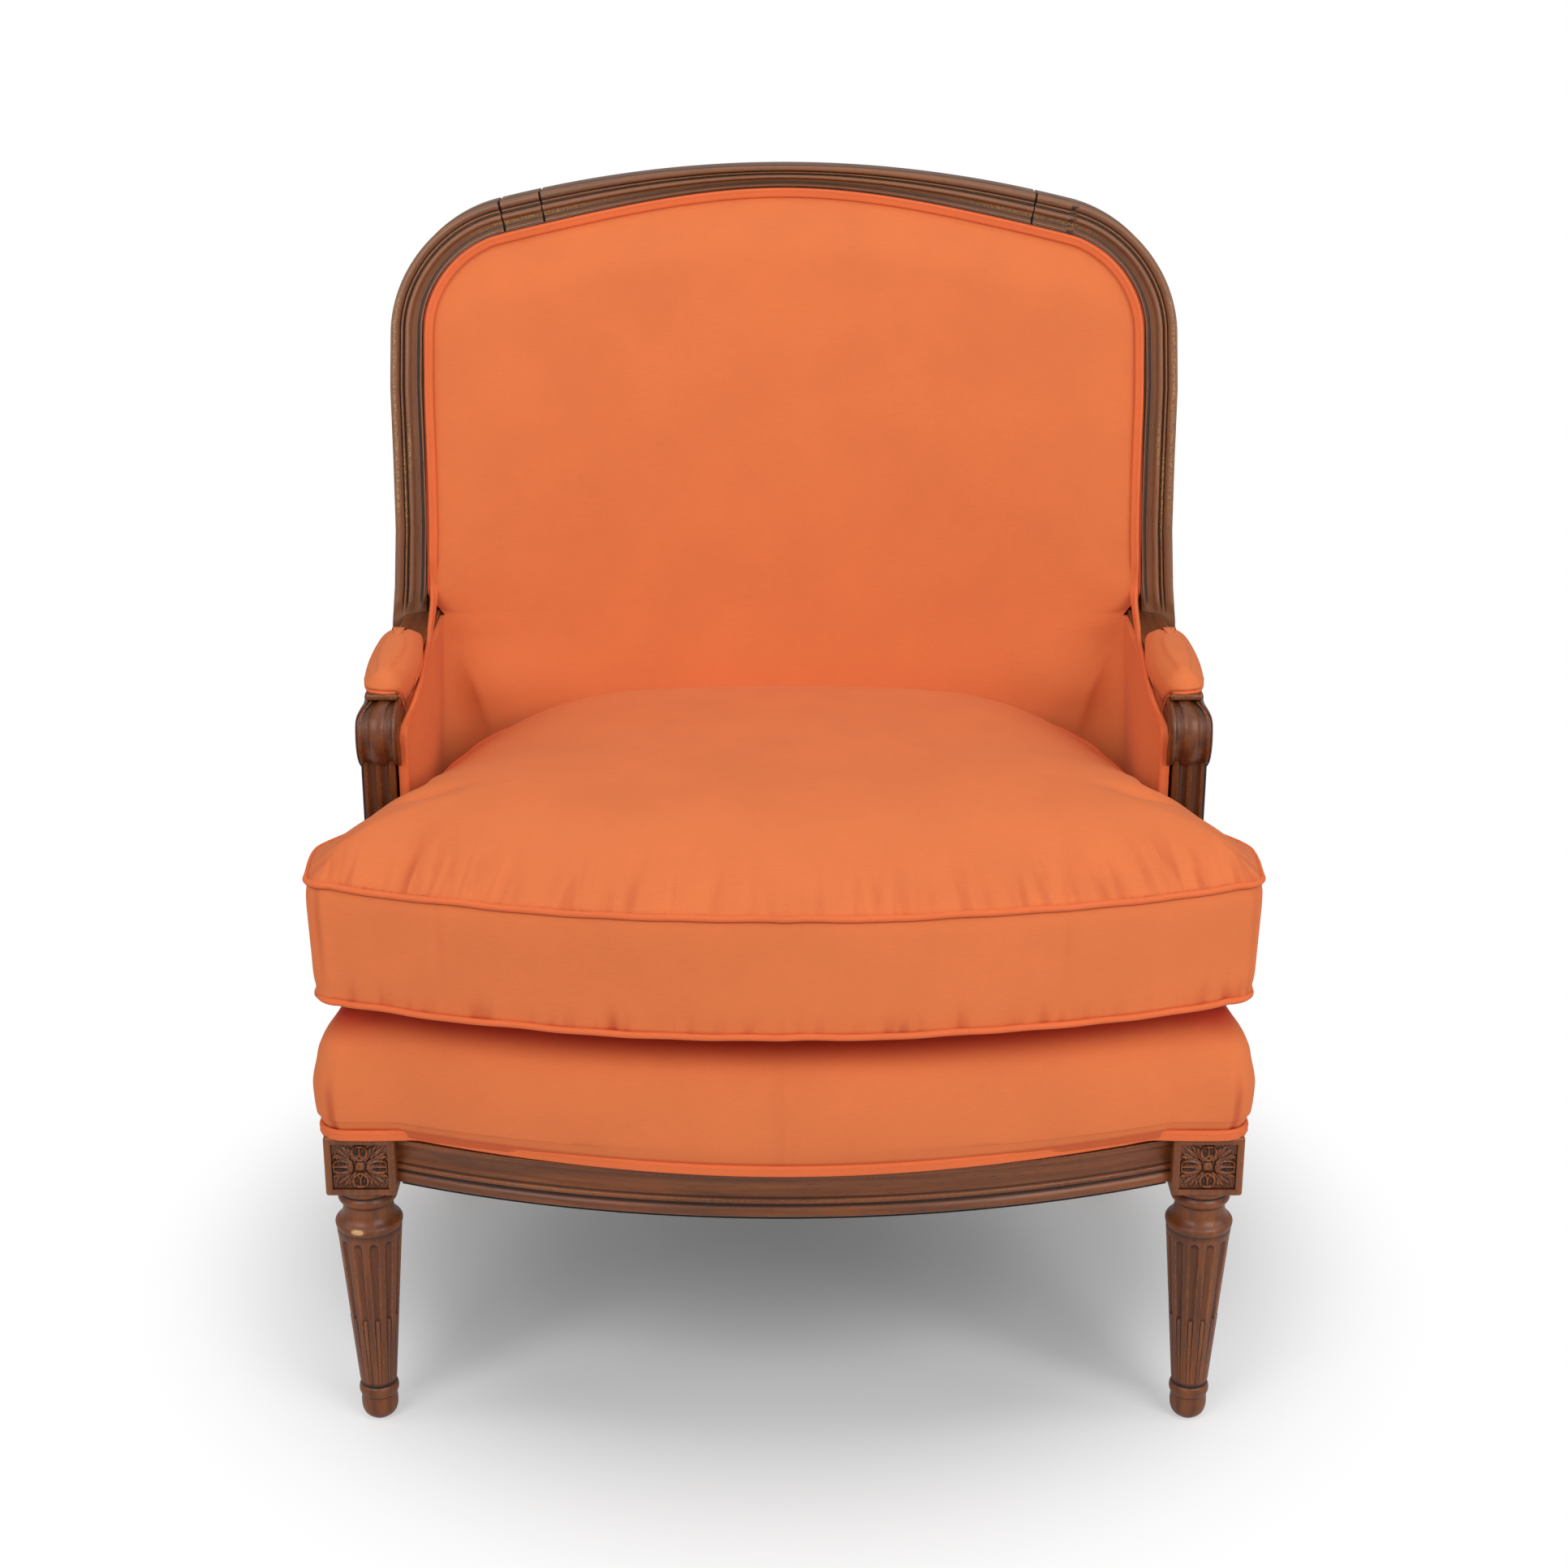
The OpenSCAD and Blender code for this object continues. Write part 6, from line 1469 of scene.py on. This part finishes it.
# Hessian: over the springs, behind the back's stuffing and inside each arm.
# It is strained over the webbing or the frame, and takes the stitches of the stuffing.
def hessian(name, face, thick, node):
    cover = strained(name, np.array(face), np.array(thick))
    axes = [k for k in (0, 1, 2) if k != int(np.argmax(np.abs(thick)))]
    flat_places = there_and_back(face)[:, axes]
    carry(cover, "weave", np.column_stack([flat_places, np.zeros(len(flat_places))]) / 1000)
    finished(cover, 60)
    hand_over(cover, jute, "jute", node)


def area_of(plan):
    """Square metres inside a closed outline in mm."""
    ahead = np.roll(plan, -1, 0)
    return round(0.5 * abs((plan[:, 0] * ahead[:, 1] - ahead[:, 0] * plan[:, 1]).sum()) / 1e6, 4)


face = []
for z in np.linspace(316.5, 903, 44):
    reach = 305.5 if z < 846 else 305.5 - 0.55 * (z - 846) ** 1.18
    xs = np.linspace(-reach, reach, 46)
    face.append(np.stack([xs, gondola_y(xs, z) + 5.1, z + 0 * xs], 1))
spans = [np.linalg.norm(np.diff(row, axis=0), axis=1).sum() for row in face]
size = sum((a + b) / 2 * 586.5 * 1.013 / 43 for a, b in zip(spans[:-1], spans[1:])) / 1e6
hessian("back_hessian_strained", face, (0, 0.8, 0), "back_hessian")
for side, name in ((-1, "left"), (1, "right")):
    face = []
    for z in np.linspace(266.8, 549.2, 24):
        ys = np.linspace(152.8 + 6.7 * (z - 266.3) / 283.4, 284.6 + 65 * (z - 266.3) / 283.4, 24)
        face.append(np.stack([side * (314.2 + 0 * ys), ys, z + 0 * ys], 1))
    hessian("arm_hessian_%s_strained" % name, face, (side * 0.8, 0, 0), "arm_hessian_" + name)
plan = set_in(deck_plan, 63, 0)
face = []
for share in np.linspace(1, 0.02, 22):
    ring = plan[:, :2] * share + np.array([0, 150]) * (1 - share)
    lift = 0.5 * np.sin(ring[:, 0] / 52) ** 2 * smooth((1 - share) / 0.3)
    face.append(np.column_stack([ring, 341.3 - 0.4 * lift]))
rings = face[::-1] + [row - (0, 0, 0.8) for row in face]
spring_cloth = drawn_out("spring_hessian_strained", rings)
carry(spring_cloth, "weave", np.concatenate(rings) / 1000)
finished(spring_cloth, 60)
hand_over(spring_cloth, jute, "jute", "spring_hessian")
area_of(plan)

# Springs: nine coils of copper-washed steel wire, wide at both ends, sewn to the webbing.
# They are tied down under the hessian, and all are one piece in the model.
steel, shade = start_finish("spring_steel")
scratch = shade.node("ShaderNodeTexCoord", out="Object").noise(260, 4, 0.6)
tone = scratch.between(0.35, 0.7).tint((120, 112, 104), (168, 158, 148))
end_finish(shade, {"Base Color": tone, "Metallic": 1.0, "Roughness": 0.32 + scratch * 0.25})
turns = np.linspace(0, 3, 145)
radii = 38 - 13 * np.sin(math.pi * turns / 3)
coil = np.stack([radii * np.cos(2 * math.pi * turns), radii * np.sin(2 * math.pi * turns), 225 + 113.4 * turns / 3], 1)
wire = np.array([(1.7 * math.cos(a), 1.7 * math.sin(a), 0) for a in np.radians(range(0, 360, 30))])
route = np.column_stack([coil, np.cos(2 * math.pi * turns), np.sin(2 * math.pi * turns), 0 * turns])
coils = [cord_strip("spring", route + (x, y, 0, 0, 0, 0), wire) for x in (-165, 0, 165) for y in (50, 150, 245)]
springs = finished(joined("seat_springs_coiled", *coils), 60)
hand_over(springs, steel, "steel", "seat_springs")

# Dust cover: black cambric, cut to the frame, turned in and tacked under the rails.
# It goes round the legs, and hangs a little between the rails.
side = [(303, y) for y in np.linspace(-8, 24, 5)] + [(303 + 45 * t, 29) for t in np.linspace(0.1, 0.9, 6)]
side += [(348, y) for y in np.linspace(34, 300, 26)] + [(348 - 54 * t, 308) for t in np.linspace(0.1, 0.9, 7)]
side += [(294, y) for y in np.linspace(313, rear_rail_y(294) + 1, 7)]
edge = [(x, front_rail_y(x) + 8) for x in np.linspace(-302, 302, 60)] + side
edge += [(x, rear_rail_y(x) + 3) for x in np.linspace(288, -288, 58)] + [(-x, y) for x, y in side[::-1]]
edge = np.array(edge)
run = run_round(edge) * 1000
face = []
for share in np.concatenate([[1, 0.985, 0.965], np.linspace(0.93, 0.03, 20)]):
    ring = edge * share + np.array([0, 160]) * (1 - share)
    sag = 3.2 * smooth((1 - share) / 0.75)
    tack = 0.35 * np.sin(run * math.pi / 22) * np.exp(-((1 - share) / 0.05) ** 2) * (share < 1)
    face.append(np.column_stack([ring, 219.4 - sag + tack]))
rings = face[::-1] + [row - (0, 0, 0.7) for row in face]
cambric, shade = start_finish("black_cambric_cloth")
weave = shade.attribute("weave", "Vector")
lint = shade.node("ShaderNodeTexCoord", out="Object").noise(300, 4, 0.7)
tone = (lint.between(0.5, 0.8) * 0.6).tint((26, 25, 25), (58, 54, 50))
end_finish(shade, {"Base Color": tone, "Roughness": 0.85 + lint * 0.1, "Sheen Weight": 0.2,
                   "Normal": weave.woven(0.0005).relief(0.3, 0.0002)})
dust_cover = drawn_out("dust_cover_tacked", rings)
carry(dust_cover, "weave", np.concatenate(rings) / 1000)
finished(dust_cover, 60)
hand_over(dust_cover, cambric, "black_cambric", "dust_cover")
area_of(edge)

# Stay rail, corner blocks with their screws and the dowels of the crest: plain work out of sight.
# Their solids stay as they are, and only get a better finish.
hidden_walnut = walnut_finish("hidden_walnut", grain=(0.06, 1, 1))
for node, finish in (("back_stay_rail", hidden_walnut), ("corner_blocks", hidden_walnut),
                     ("crest_dowels", hidden_walnut), ("corner_block_screws", steel)):
    for place in bpy.data.objects[node].material_slots:
        place.material = finish
